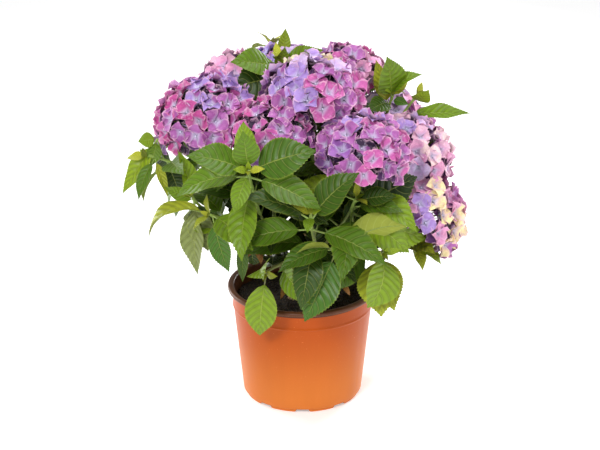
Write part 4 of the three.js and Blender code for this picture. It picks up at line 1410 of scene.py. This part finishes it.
sepals = [
    sepal_shape("cupped_sepal", 0.32, 0.3), sepal_shape("flat_sepal", 0.2, 2.0), sepal_shape("curled_sepal", 0.42, 4.1),
]
print("one sepal has", len(sepals[0].data.polygons), "faces")

# %% [markdown]
# ## Colours of the blossom
# No two heads have the same mix, and one head changes from side to side. So fifteen shades are named, and
# each head lists its own from left to right. A shade that is named twice comes up more often.

# %% Blossom shades
BLOOM_SHADES = [linear(*c) for c in (
    (182, 68, 138), (190, 90, 158), (166, 92, 162), (146, 90, 166),
    (164, 134, 200), (142, 128, 194), (118, 66, 138), (224, 158, 194),
    (206, 184, 222), (88, 50, 104), (240, 224, 170), (238, 208, 208),
    (218, 214, 160), (220, 176, 196), (46, 26, 58),
)]
# The dusky violet and the last, near-black one are painted shadow for the deep layer of florets.
MAGENTA, ROSE, MAUVE, VIOLET_MAUVE, LILAC, BLUE_LILAC, PURPLE, PALE_PINK = range(8)
PALE_LILAC, PAINTED_SHADOW_DUSK, CREAM_YELLOW, CREAM_PINK, GREEN_CREAM, PINK_CREAM, PAINTED_SHADOW_VIOLET = range(8, 15)
# The shades of each head from its left to its right, then the ones on its crown and those low down.
# The paler crowns are partly painted light from above, and the darker shades low down partly painted
# shade under the head. The pale shades of the right and low right heads are partly painted light too.
HEAD_SHADES = {
    "left": (
        (ROSE, MAGENTA, MAUVE, MAGENTA, MAUVE, LILAC, VIOLET_MAUVE),
        (MAUVE, ROSE, LILAC, LILAC), (MAGENTA, MAUVE, PURPLE)),
    "back_left": (
        (PINK_CREAM, PALE_PINK, ROSE, PINK_CREAM, PINK_CREAM),
        (PINK_CREAM, PALE_PINK, CREAM_PINK), (ROSE, PINK_CREAM)),
    "top": ((PALE_LILAC, BLUE_LILAC, LILAC, PALE_LILAC, LILAC), (LILAC, PALE_LILAC, BLUE_LILAC), (BLUE_LILAC, LILAC)),
    "top_right": ((LILAC, ROSE, MAUVE, MAGENTA, PALE_PINK), (ROSE, MAUVE, MAUVE, ROSE), (ROSE, MAUVE)),
    "middle": (
        (VIOLET_MAUVE, MAUVE, LILAC, MAUVE, ROSE, MAUVE, ROSE),
        (PALE_LILAC, LILAC, PALE_LILAC, MAUVE, GREEN_CREAM, PALE_LILAC), (PURPLE, VIOLET_MAUVE, PURPLE)),
    "front_left": (
        (ROSE, MAUVE, ROSE, MAUVE, PURPLE, MAUVE),
        (ROSE, MAUVE, MAGENTA), (PURPLE, VIOLET_MAUVE, MAGENTA, PURPLE)),
    "front_right": (
        (VIOLET_MAUVE, MAUVE, MAUVE, ROSE, MAUVE, ROSE),
        (MAUVE, LILAC, ROSE, MAUVE), (MAGENTA, ROSE, MAGENTA)),
    "right": (
        (MAUVE, LILAC, PALE_PINK, PALE_LILAC, CREAM_PINK, PINK_CREAM, CREAM_PINK),
        (LILAC, PALE_LILAC, PALE_PINK, PINK_CREAM), (PALE_PINK, PINK_CREAM, CREAM_PINK)),
    "low_right": (
        (MAUVE, VIOLET_MAUVE, LILAC, PALE_PINK, CREAM_YELLOW, PALE_PINK, CREAM_YELLOW),
        (PALE_PINK, MAUVE, CREAM_YELLOW, ROSE), (MAUVE, VIOLET_MAUVE, ROSE, CREAM_YELLOW)),
    "back_right": ((MAUVE, ROSE, PALE_PINK, LILAC, MAUVE), (LILAC, MAUVE, PALE_LILAC), (VIOLET_MAUVE, ROSE)),
    "low_back_left": ((LILAC, VIOLET_MAUVE, MAUVE, ROSE, PINK_CREAM), (ROSE, MAUVE, PINK_CREAM), (PURPLE, MAUVE)),
    "back": ((MAUVE, VIOLET_MAUVE, ROSE, MAGENTA, MAUVE), (ROSE, MAUVE, LILAC), (PURPLE, MAGENTA)),
    "low_back": ((LILAC, BLUE_LILAC, MAUVE, PALE_LILAC, CREAM_PINK), (LILAC, PALE_LILAC), (BLUE_LILAC, VIOLET_MAUVE)),
}
# Painted shadow: the deep layer of florets takes these dark violets, and a milder set in the pale heads.
INNER_PAINTED_SHADOW = (PAINTED_SHADOW_VIOLET, PAINTED_SHADOW_DUSK, PAINTED_SHADOW_VIOLET)
PALE_INNER_PAINTED_SHADOW = (PAINTED_SHADOW_DUSK, MAUVE, PURPLE)
PALE_HEADS = ("right", "low_right", "back_left", "top")
print(len(BLOOM_SHADES), "shades for", len(HEAD_SHADES), "heads")

# %% [markdown]
# ## Heads in bloom
# A head in bloom is a little larger than its mass in the part, because sepals are loose. Where two heads
# meet, their florets can't share the same room, so each place is measured against the other heads.

# %% Heads in bloom
# The blossom of these heads spreads a little further than the part's mass.
SPREAD = {
    "top": dict(at=(-29, 113, 487), radius=74), "top_right": dict(at=(70, 66, 515), radius=55),
    "back_left": dict(at=(-105, 98, 490), radius=58), "left": dict(at=(-149, -22, 471), radius=80),
    "low_right": dict(at=(189, -46, 314), radius=72), "right": dict(at=(175, 2, 405), radius=64),
}
BLOOMS = [dict(head, **SPREAD.get(head["name"], {})) for head in HEADS]
# The low right head has no florets below this plane, where leaves press against it.
BARE_SIDE, BARE_BELOW = Vector((0.75, 0.414, 1)), 414


def head_turn(head):
    """The turn from straight up to the way that a head faces."""
    return UP.rotation_difference(heading(head["faces"]))


def inside_another(point, head, share):
    """Whether a point is in another head, within some share of its radius."""
    for other in BLOOMS:
        if other is not head:
            seen = head_turn(other).inverted() @ (point - Vector(other["at"])) / other["radius"]
            squash = HEAD_HEIGHT * (HEAD_UNDERSIDE if seen.z < 0 else 1)
            if (seen.x**2 + seen.y**2 + (seen.z / squash) ** 2) ** 0.5 < share:
                return True
    return False


print("the widest head in bloom is", 2 * max(head["radius"] for head in BLOOMS), "mm across")

# %% [markdown]
# ## Where the florets sit
# They keep to the golden angle, as in the part's source, but closer together: the crown of a head shows
# no gap. Each is tipped a little at random. Under the rim of the head there are none, and the thin
# stalks show there. A second layer lies deeper and closes the view between the outer ones, and its dark
# colours are painted shadow.

# %% Floret places
GOLDEN_ANGLE = math.pi * (3 - math.sqrt(5))
KEPT_CLEAR = 0.14
PULLED_IN = 2  # millimetres, because the sepals cup outwards from their floret's middle
MOST_TIPPED = 24  # degrees
# How far apart a layer's florets are in millimetres, how deep it lies, and where it ends under the rim.
OUTER_LAYER = dict(apart=9.2, deep=0.90, lowest=-0.04)
INNER_LAYER = dict(apart=9.8, deep=0.76, lowest=-0.2)


def florets_of(head, draw, apart, deep, lowest):
    """The florets of one layer of a head: middle, outward way, radius and how it is spun."""
    count = round((head["radius"] / apart) ** 2)
    turn = head_turn(head)
    florets = []
    for i in range(count):
        z = 1 - (2 * i + 1) / count
        chance = [draw() for _ in range(7)]
        if z < lowest:
            continue
        level, turned = math.sqrt(1 - z * z), i * GOLDEN_ANGLE + math.radians(head["turn"])
        squash = HEAD_HEIGHT * (HEAD_UNDERSIDE if z < 0 else 1)
        local = Vector((level * math.cos(turned), level * math.sin(turned), z * squash))
        out = turn @ Vector((local.x, local.y, local.z / HEAD_HEIGHT**2)).normalized()
        depth = deep * (0.95 + 0.07 * chance[0])
        middle = Vector(head["at"]) + turn @ local * head["radius"] * depth - out * PULLED_IN
        if inside_another(middle, head, deep if z > 0.35 else deep + KEPT_CLEAR):
            continue
        if head["name"] == "low_right" and middle.dot(BARE_SIDE) < BARE_BELOW:
            continue
        axis = square_to(out, Vector((chance[1] - 0.5, chance[2] - 0.5, chance[3] - 0.49)))
        out = Quaternion(axis, math.radians(MOST_TIPPED * chance[4])) @ out
        radius = (14.2 + 0.10 * head["radius"]) * (0.86 + 0.26 * chance[5])
        florets.append(dict(middle=middle, out=out, radius=radius, head=head, spin=chance[6]))
    return florets


print("the outer florets are", OUTER_LAYER["apart"], "mm apart")

# %% [markdown]
# ## A shade for each floret
# The place on the head picks from that head's lists, with some chance in it, so the shades run into each
# other. Most sepals of a floret share its shade, and now and then one has another.

# %% Floret shades
def bloom_shade(floret, draw):
    """A shade by where the floret is on its head."""
    across, crown, low = HEAD_SHADES[floret["head"]["name"]]
    offset = (floret["middle"] - Vector(floret["head"]["at"])) / floret["head"]["radius"]
    height, chance = offset.z + 0.3 * (draw() - 0.5), draw()
    if height > 0.5 or height < -0.12:
        pick = crown if height > 0 else low
        return pick[int(chance * len(pick))]
    from_left = 0.5 + 0.5 * offset.x + 0.3 * (chance - 0.5)
    return across[min(max(int(from_left * len(across)), 0), len(across) - 1)]


floret_draw, bloom_draw = seeded_numbers(74), seeded_numbers(75)
OUTER = [f for head in BLOOMS for f in florets_of(head, floret_draw, **OUTER_LAYER)]
INNER = [f for head in BLOOMS for f in florets_of(head, floret_draw, **INNER_LAYER)]
for floret in OUTER:
    own, other = bloom_shade(floret, bloom_draw), bloom_shade(floret, bloom_draw)
    floret["others"] = (own, own, own, own, own, other)
# The deep layer is coloured as painted shadow between the outer florets.
for floret in INNER:
    shades = PALE_INNER_PAINTED_SHADOW if floret["head"]["name"] in PALE_HEADS else INNER_PAINTED_SHADOW
    floret["others"] = (shades[int(bloom_draw() * 3)],) * 6
print(len(OUTER), "outer florets and", len(INNER), "inner ones")

# %% [markdown]
# ## Growing sepals
# A second tree sets a sepal on each point, as the leaf tree does with blades. It needs no arch, only the way
# that the sepal heads, the way that its floret faces, and its size. One pair of sepals is lifted over the
# other, as on the flower.

# %% Growing sepals
def sepal_tree():
    """Sets a sepal on each point, leaning out from the floret's middle."""
    tree, entry, exit_node = new_tree("grow_sepals", {"Cupping": "Float", "Material": "Material"})
    real = place_prototypes(tree, entry.outputs["Geometry"], sepals)
    read = read_attributes(tree, ("local", "middle", "ahead", "out"), ("size", "lift"))
    along, across, up = add(tree, "ShaderNodeSeparateXYZ", {0: read["local"]}).outputs
    side = vector_calc(tree, "CROSS_PRODUCT", read["out"], read["ahead"])
    raised = calc(tree, "MULTIPLY_ADD", up, entry.outputs["Cupping"], read["lift"])
    spread = vector_calc(tree, "ADD", scaled(tree, read["ahead"], along), scaled(tree, side, across))
    whole = vector_calc(tree, "ADD", spread, scaled(tree, read["out"], raised))
    spot = vector_calc(tree, "ADD", read["middle"], scaled(tree, whole, read["size"]))
    shaped = add(tree, "GeometryNodeSetPosition", {"Geometry": real, "Position": spot})
    finish_tree(tree, store_chart_map(tree, shaped), entry, exit_node)
    return tree


def sepal_points(name, florets):
    """Four points for each floret, a quarter turn apart. One pair lies over the other."""
    draw = seeded_numbers(86)
    rows = []
    for floret in florets:
        out = floret["out"]
        first = square_to(out, Vector((1, 0.2, 0.1)) if abs(out.x) < 0.8 else Vector((0, 1, 0.2)))
        start = floret["spin"] * 90
        for k in range(4):
            turned = math.radians(start + 90 * k + 10 * (draw() - 0.5))
            ahead = first * math.cos(turned) + out.cross(first) * math.sin(turned)
            rise = math.radians(4 + 22 * draw())
            rows.append((floret["middle"] * MM, ahead * math.cos(rise) + out * math.sin(rise),
                         out * math.cos(rise) - ahead * math.sin(rise), floret["radius"] * (0.9 + 0.2 * draw()) * MM,
                         0.035 * (k % 2), int(draw() * len(sepals)), floret["others"][int(draw() * 6)]))
    mesh = bare_mesh(name, [(0, 0, 0)] * len(rows))
    kinds = dict(
        middle=VECTOR, ahead=VECTOR, out=VECTOR, size="FLOAT", lift="FLOAT", kind="INT")
    for column, (label, kind) in enumerate(kinds.items()):
        give(mesh, label, kind, [row[column] for row in rows])
    give(mesh, "square", VECTOR, [(*chart_square(row[-1]), 0) for row in rows])
    give(mesh, "tint", "FLOAT_COLOR", [BLOOM_SHADES[row[-1]] for row in rows])
    return mesh


grow_sepals = sepal_tree()

# %% [markdown]
# ## The sepals' finish
# A sepal is palest at its lifted edge and at its heart, and deepest in between. The deep middle is partly
# its own colour and partly painted shade in its cup, and the pale edge is partly its own colour and partly a
# painted highlight. Fine veins run out from the heart. All of it is read from the blade map, so it turns and
# bends with the sepal.

# %% Sepal finish
bloom_finish, tree, shader = new_finish("sepal")
along, across, below = blade_readings(tree)
tint = add(tree, "ShaderNodeAttribute", attribute_name="tint").outputs["Color"]
spot = add(tree, "ShaderNodeCombineXYZ", {"X": along, "Y": times(tree, across, 0.6), "Z": below})
cloudy = use_group(tree, mottle, {"Color": tint, "Vector": spot, "Scale": 5.0, "Amount": 0.7})
# A darker copy of the tint for the sepal's middle: partly its own deeper colour, partly painted shade in its cup.
deep = mixed(tree, 1.0, cloudy.outputs["Color"], linear(226, 190, 232), blend="MULTIPLY")
heart = between(tree, along, 0.08, 0.46, 1.0, 0.0)
# The pale rim on the lifted edge and at the tip: partly the sepal's own colour, partly a painted highlight.
edge = between(tree, calc(tree, "ABSOLUTE", across), 0.74, 1.0)
far = between(tree, along, 0.86, 1.0)
rim = calc(tree, "MAXIMUM", times(tree, edge, between(tree, along, 0.2, 0.5)), far)
pattern = use_group(tree, veins, {"Along": along, "Across": across, "Pairs": 6.0, "Sweep": 0.6})
body = mixed(tree, between(tree, along, 0.25, 0.65, 0.75, 0.0), cloudy.outputs["Color"], deep)
body = mixed(tree, times(tree, heart, 0.72), body, linear(208, 204, 228))
body = mixed(tree, times(tree, rim, 0.66), body, linear(240, 194, 214))
body = mixed(tree, times(tree, pattern.outputs["Side Veins"], 0.16), body, linear(120, 50, 110))
body = mixed(tree, times(tree, below, 0.3), body, linear(206, 170, 196))
sheen = between(tree, cloudy.outputs["Value"], 0.3, 0.7, 0.5, 0.65)
surface(tree, shader, body, sheen, pattern.outputs["Height"], 0.3, 0.0006)

# %% [markdown]
# ## The blossom opens
# There are more sepals than anything else, so they are shared among three pieces: the florets in front,
# the ones behind, and the layer underneath that is dark with painted shadow.

# %% Blossom
in_front = [f for f in OUTER if f["middle"].y < 0]
behind = [f for f in OUTER if f["middle"].y >= 0]
blossom = []
for name, florets in (("front_florets", in_front), ("back_florets", behind), ("inner_florets", INNER)):
    spots = sepal_points(name + "_points", florets)
    blossom.append(grown(name, spots, grow_sepals, {"Cupping": 1.0, "Material": bloom_finish}))

# %% [markdown]
# ## Beads in the florets
# The true flower in the middle of each floret is a bead hardly 3 mm across. A small ball on each floret's
# middle is enough, turned and stretched at random so that no two catch the light alike.

# %% Bead tree
def strewn(tree, points, size, turn_seed, stretch_seed, least, most):
    """A small ball on each point, turned at random and stretched between two limits."""
    ball = add(tree, "GeometryNodeMeshIcoSphere", {"Radius": 1.0, "Subdivisions": 1})
    turned = add(tree, "FunctionNodeRandomValue", {"Seed": turn_seed}, data_type=VECTOR)
    plug(tree, turned.inputs[1], (6.28, 6.28, 6.28))  # a full turn about each axis
    stretched = add(tree, "FunctionNodeRandomValue", {"Seed": stretch_seed}, data_type=VECTOR)
    plug(tree, stretched.inputs[0], least)
    plug(tree, stretched.inputs[1], most)
    return add(tree, "GeometryNodeInstanceOnPoints", {
        "Points": points, "Instance": ball.outputs["Mesh"], "Rotation": turned.outputs[0],
        "Scale": scaled(tree, stretched.outputs[0], size)})


def bead_tree():
    """A bead on each point."""
    tree, entry, exit_node = new_tree("place_beads", {
        "Size": "Float", "Unevenness": "Float", "Seed": "Int", "Material": "Material"})
    seed, uneven = entry.outputs["Seed"], entry.outputs["Unevenness"]
    least = vector_calc(tree, "SUBTRACT", (1, 1, 1), uneven)
    most = vector_calc(tree, "ADD", (1, 1, 1), uneven)
    placed = strewn(tree, entry.outputs["Geometry"], entry.outputs["Size"], seed, seed, least, most)
    real = add(tree, "GeometryNodeRealizeInstances", {"Geometry": placed})
    smooth = add(tree, "GeometryNodeSetShadeSmooth", {"Geometry": real, "Shade Smooth": True})
    finish_tree(tree, smooth, entry, exit_node)
    return tree


place_beads = bead_tree()

# %% [markdown]
# ## The beads' finish
# The beads are pale, some bluish and some nearly white. A strong mottle on a pale lilac gives both.

# %% Beads
eye_finish, tree, shader = new_finish("floret_eye")
spot = object_spot(tree)
cloudy = use_group(tree, mottle, {"Color": linear(206, 204, 226), "Vector": spot, "Scale": 40.0, "Amount": 1.1})
plug(tree, shader.inputs["Base Color"], cloudy.outputs["Color"])
plug(tree, shader.inputs["Roughness"], between(tree, cloudy.outputs["Value"], 0.3, 0.7, 0.35, 0.6))
BEAD_ABOVE_MIDDLE = 1.6
eye_points = bare_mesh("eye_points", [(f["middle"] + f["out"] * BEAD_ABOVE_MIDDLE) * MM for f in OUTER])
eye_values = {"Size": 0.0017, "Unevenness": 0.15, "Seed": 3, "Material": eye_finish}
eyes = grown("floret_eyes", eye_points, place_beads, eye_values)

# %% [markdown]
# ## Flower stalks
# Each floret hangs on a thin stalk, and the stalks meet in the head's own stem. They show only from under
# the head. The tree that grows the shoots sweeps them too.

# %% Flower stalks
def floret_stalk(floret):
    """A thin stalk from the head's stem out to a floret."""
    head = floret["head"]
    base = Vector(head["at"]) - heading(head["faces"]) * head["radius"] * HEAD_HEIGHT * HEAD_UNDERSIDE * 1.05
    knee = base.lerp(floret["middle"], 0.45) + heading(head["faces"]) * 3
    return [(base, 1.5), (knee, 0.9), (floret["middle"] - floret["out"] * 1.2, 0.7)]


def head_stem(head):
    """The stem under a head."""
    tip, middle = shoot_tip(head), Vector(head["at"])
    swelling = [(tip.lerp(middle, share), radius) for share, radius in ((0.35, 2.4), (0.6, 3.0), (0.72, 1.6))]
    return [(tip - heading(head["faces"]) * 3, 2.4)] + swelling


all_flower_stalks = [floret_stalk(f) for f in OUTER] + [head_stem(h) for h in HEADS]
floret_stalks = grown("flower_stalks", stalk_lines("flower_stalk_lines", all_flower_stalks), grow_stalks,
                      {"Sides": 5, "Relief": 0.0, "Relief Scale": 100.0, "Stretch": 1.0, "Material": stem_finish})

# %% [markdown]
# ## The pot
# A nursery pot is blown or pressed from thin plastic: orange outside, brown inside and round its rolled lip.
# A thin ridge marks the stacking shoulder, and the foot ring is broken by slots for the water.
# It is one closed body turned on a lathe, and the slots are lifted out of its foot.

# %% Pot body
BAND_TOP_RADIUS, WALL_FOOT_RADIUS = 111, 94.5
RIDGE, FOOT_RING_HEIGHT, DRAIN_SLOTS, DRAIN_SLOT_TURN, SLOT_HEIGHT = 151, 5.5, 9, 10, 4.6
SLOT_HALF_TURN, SLOT_END_TURN = 7.6, 1.9  # degrees round the pot
SLOT_FROM, SLOT_SLOPE = 77, 4  # millimetres from the axis


def wall_radius(z):
    """The wall's outer radius at a height, below the ridge."""
    share = min(max((z - FOOT_RING_HEIGHT) / (RIDGE - FOOT_RING_HEIGHT), 0), 1)
    return WALL_FOOT_RADIUS + (BAND_TOP_RADIUS - 1 - WALL_FOOT_RADIUS) * share


def slotted(radius, z, turned):
    """Lifts the foot ring over each drain slot, with sloping ends."""
    step = (math.degrees(turned) - DRAIN_SLOT_TURN) % (360 / DRAIN_SLOTS) - 180 / DRAIN_SLOTS
    inside = min(max((SLOT_HALF_TURN - abs(step)) / SLOT_END_TURN, 0), 1)
    reach = min(max((radius - SLOT_FROM) / SLOT_SLOPE, 0), 1)
    lifted = max(z, SLOT_HEIGHT * inside * reach) if z < SLOT_HEIGHT else z
    return radius, lifted


outside = [  # up from the middle of the underside to the foot of the wall
    (0, 0), (40, 0), (72, 0), (79, 0), (83, 0), (87, 0), (90, 0), (90.8, 0.4), (91, 1.4), (91.1, 3.2),
    (91.2, 5.0), (91.6, 5.6), (93.6, 5.7), (94.3, 6.1), (94.6, 7.2),
]
outside += [(wall_radius(z), z) for z in range(14, 146, 6)]
outside += [  # the stacking ridge and the band above it
    (wall_radius(147.5), 147.5), (109.8, 149), (110.7, 149.8), (111.4, 151), (111.1, 152.4), (110.6, 153.4),
    (110.55, 156), (110.6, 162), (110.8, 170), (110.95, 176),
]
outside += [  # the rolled lip
    (111.3, 177), (113.2, 177.2), (117.2, 177.3), (118.5, 178), (119, 179.5), (118.9, 181.5), (118.2, 183.2),
    (116.8, 184), (112.2, 184), (109.9, 183.4), (108.8, 182),
]
inside = [  # down the inner wall to the middle of the floor
    (108.7, 176), (108.3, 165), (107.9, 156), (107.7, 151), (106.6, 140), (101.2, 100), (96.1, 50), (92.4, 14),
    (89, 8), (60, 7), (0, 7),
]
pot_points, pot_faces = lathe(outside + inside, 252, slotted)
pot = show("plastic_pot", bare_mesh("plastic_pot", pot_points, faces=pot_faces))
print("pot:", len(pot.data.polygons), "faces")

# %% [markdown]
# ## The pot's plastic
# The colours meet on the lip. Above and inside that line the plastic is brown. Outside, the
# orange is painted darker near the top, as shade under the foliage, and lighter low down, as light
# thrown up from the floor. Faint upright streaks and scuffs keep it from being flat.

# %% Pot finish
pot_finish, tree, shader = new_finish("pot_plastic")
spot = object_spot(tree)
x, y, z = add(tree, "ShaderNodeSeparateXYZ", {0: spot}).outputs
from_axis = calc(tree, "SQRT", calc(tree, "ADD", times(tree, x, x), times(tree, y, y)))
# A radius inside the wall's thickness at each height: beyond it is the outside.
in_foot_ring = calc(tree, "LESS_THAN", z, 0.0062)
outer_wall = calc(tree, "MULTIPLY_ADD", in_foot_ring, -0.0035, calc(tree, "MULTIPLY_ADD", z, 0.1065, 0.0925))
is_outside = calc(tree, "GREATER_THAN", from_axis, outer_wall)
above_line = between(tree, z, 0.1766, 0.1774)
brown_share = calc(tree, "MAXIMUM", above_line, calc(tree, "SUBTRACT", 1.0, is_outside))
# Painted shade and light: the orange darkens towards the top and is lighter towards the foot.
orange_with_painted_shade = mixed(tree, between(tree, z, 0.0, 0.16), linear(205, 114, 43), linear(169, 70, 1))
streaks = add(tree, "ShaderNodeMapping", {"Vector": spot, "Scale": (1, 1, 0.06)})
cloudy = use_group(tree, mottle, {"Color": orange_with_painted_shade, "Vector": streaks, "Scale": 55.0, "Amount": 0.10})
scuffed = use_group(tree, specks, {
    "Color": cloudy.outputs["Color"], "Speck Color": linear(206, 118, 60),
    "Vector": spot, "Scale": 420.0, "Share": 0.27})
brown = use_group(tree, mottle, {"Color": linear(92, 54, 32), "Vector": spot, "Scale": 60.0, "Amount": 0.5})
plastic = mixed(tree, brown_share, scuffed.outputs["Color"], brown.outputs["Color"])
gloss = between(tree, cloudy.outputs["Value"], 0.3, 0.7, 0.34, 0.44)
orange_peel = noise(tree, spot, 700.0, 2.0)
surface(tree, shader, plastic, gloss, orange_peel, 0.08, 0.0004)
shader.inputs["Specular IOR Level"].default_value = 0.2
pot.data.materials.append(pot_finish)

# %% [markdown]
# ## Soil
# Potting soil fills the pot nearly to its band. It is a body of its own, turned on the lathe with low
# lumps on its top.

# %% Soil
SOIL_RADIUS = 107.1


def heaped(radius, z, turned):
    """Lumps on the soil's top."""
    if z <= SOIL_TOP - 10:
        return radius, z
    lumps = 1.1 * math.sin(radius * 0.19 + 2.3 * math.cos(turned * 3)) + 0.8 * math.sin(turned * 7 + radius * 0.11)
    return radius, z + lumps * min(radius / 12, 1) * min((SOIL_RADIUS + 6 - radius) / 20, 1)


soil_top = [(SOIL_RADIUS - 0.6 - step * 4.0, SOIL_TOP - 3.0 * math.exp(-step / 1.5)) for step in range(27)]
soil_profile = [(0, 138), (103.4, 138), (104.9, 142), (106.1, 151), (106.7, 155)] + soil_top + [(0, SOIL_TOP)]
soil_points, soil_faces = lathe(soil_profile, 120, heaped)
soil = show("soil_surface", bare_mesh("soil_surface", soil_points, faces=soil_faces))
print("soil:", len(soil_faces), "faces")

# %% [markdown]
# ## The soil's finish
# Peat is nearly black, matt and flecked with paler fibres. One rough noise gives its two browns and its relief.

# %% Soil finish
soil_finish, tree, shader = new_finish("potting_soil")
spot = object_spot(tree)
peat = noise(tree, spot, 190.0, 6.0, 0.7)
dark = mixed(tree, between(tree, peat, 0.35, 0.65), linear(14, 9, 7), linear(52, 36, 26))
flecked = use_group(tree, specks, {
    "Color": dark, "Speck Color": linear(120, 96, 72), "Vector": spot, "Scale": 520.0, "Share": 0.30})
surface(tree, shader, flecked.outputs["Color"], between(tree, peat, 0.3, 0.7, 0.8, 0.98), peat, 1.0, 0.004)
soil.data.materials.append(soil_finish)

# %% [markdown]
# ## Crumbs
# Crumbs of peat and bark lie loose on the soil. A tree picks points on the faces that look up, so the
# crumbs always lie on the soil, and sets an uneven little ball on each.

# %% Crumbs
def crumb_tree():
    """Strews crumbs over the faces that look up."""
    tree, entry, exit_node = new_tree("strew_crumbs", {
        "Density": "Float", "Size": "Float", "Seed": "Int", "Material": "Material"})
    seed = entry.outputs["Seed"]
    up = add(tree, "ShaderNodeSeparateXYZ", {0: add(tree, "GeometryNodeInputNormal").outputs["Normal"]}).outputs["Z"]
    faces_up = add(tree, "FunctionNodeCompare", {0: up, 1: 0.4}, data_type="FLOAT", operation="GREATER_THAN")
    spots = add(tree, "GeometryNodeDistributePointsOnFaces", {
        "Mesh": entry.outputs["Geometry"], "Selection": faces_up, "Density": entry.outputs["Density"], "Seed": seed})
    least, most = (0.35, 0.3, 0.25), (1.3, 1.1, 0.8)
    placed = strewn(tree, spots.outputs["Points"], entry.outputs["Size"], seed, 5, least, most)
    finish_tree(tree, placed, entry, exit_node)
    return tree


crumb_bed = bare_mesh("crumb_bed", soil_points, faces=soil_faces)
crumb_values = {"Density": 42000.0, "Size": 0.0028, "Seed": 9, "Material": soil_finish}
crumbs = grown("soil_crumbs", crumb_bed, crumb_tree(), crumb_values)

# %% [markdown]
# ## What rides and what each piece stands for
# Nothing moves on a potted plant, so every piece rides on the one body. Each mass of foliage and each
# flower head of the imported part is hidden by the pieces that were grown in its place.

# %% Ride, replace and print the size
CANE_NODES = ["cane_" + name for name in CANES]
LEAF_NODES = ["foliage_" + name for name in CANES]
HEAD_NODES = ["flower_head_" + head["name"] for head in HEADS]
for piece, slot, nodes in (
    (pot, "pot_plastic", ["pot"]),
    (soil, "soil", ["potting_soil"]),
    (crumbs, "soil", ["potting_soil"]),
    (foot, "bark", ["woody_foot"]),
    (canes, "bark", CANE_NODES),
    (shoots, "foliage", LEAF_NODES),
    (leaf_stalks, "foliage", LEAF_NODES),
    (leaves, "foliage", LEAF_NODES),
    (inner_leaf_piece, "foliage", LEAF_NODES),
    (young, "foliage", LEAF_NODES),
    (floret_stalks, "foliage", HEAD_NODES),
    (eyes, "blossom", HEAD_NODES),
    *((piece, "blossom", HEAD_NODES) for piece in blossom),
):
    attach(piece, "root")
    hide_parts(*nodes)
bpy.context.view_layer.update()
dressed_low, dressed_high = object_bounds()
for axis in range(3):
    from_to = [round(float(corner[axis]), 4) for corner in (cad_low, cad_high, dressed_low, dressed_high)]
    print("xyz"[axis], "cad", from_to[:2], "dressed", from_to[2:])
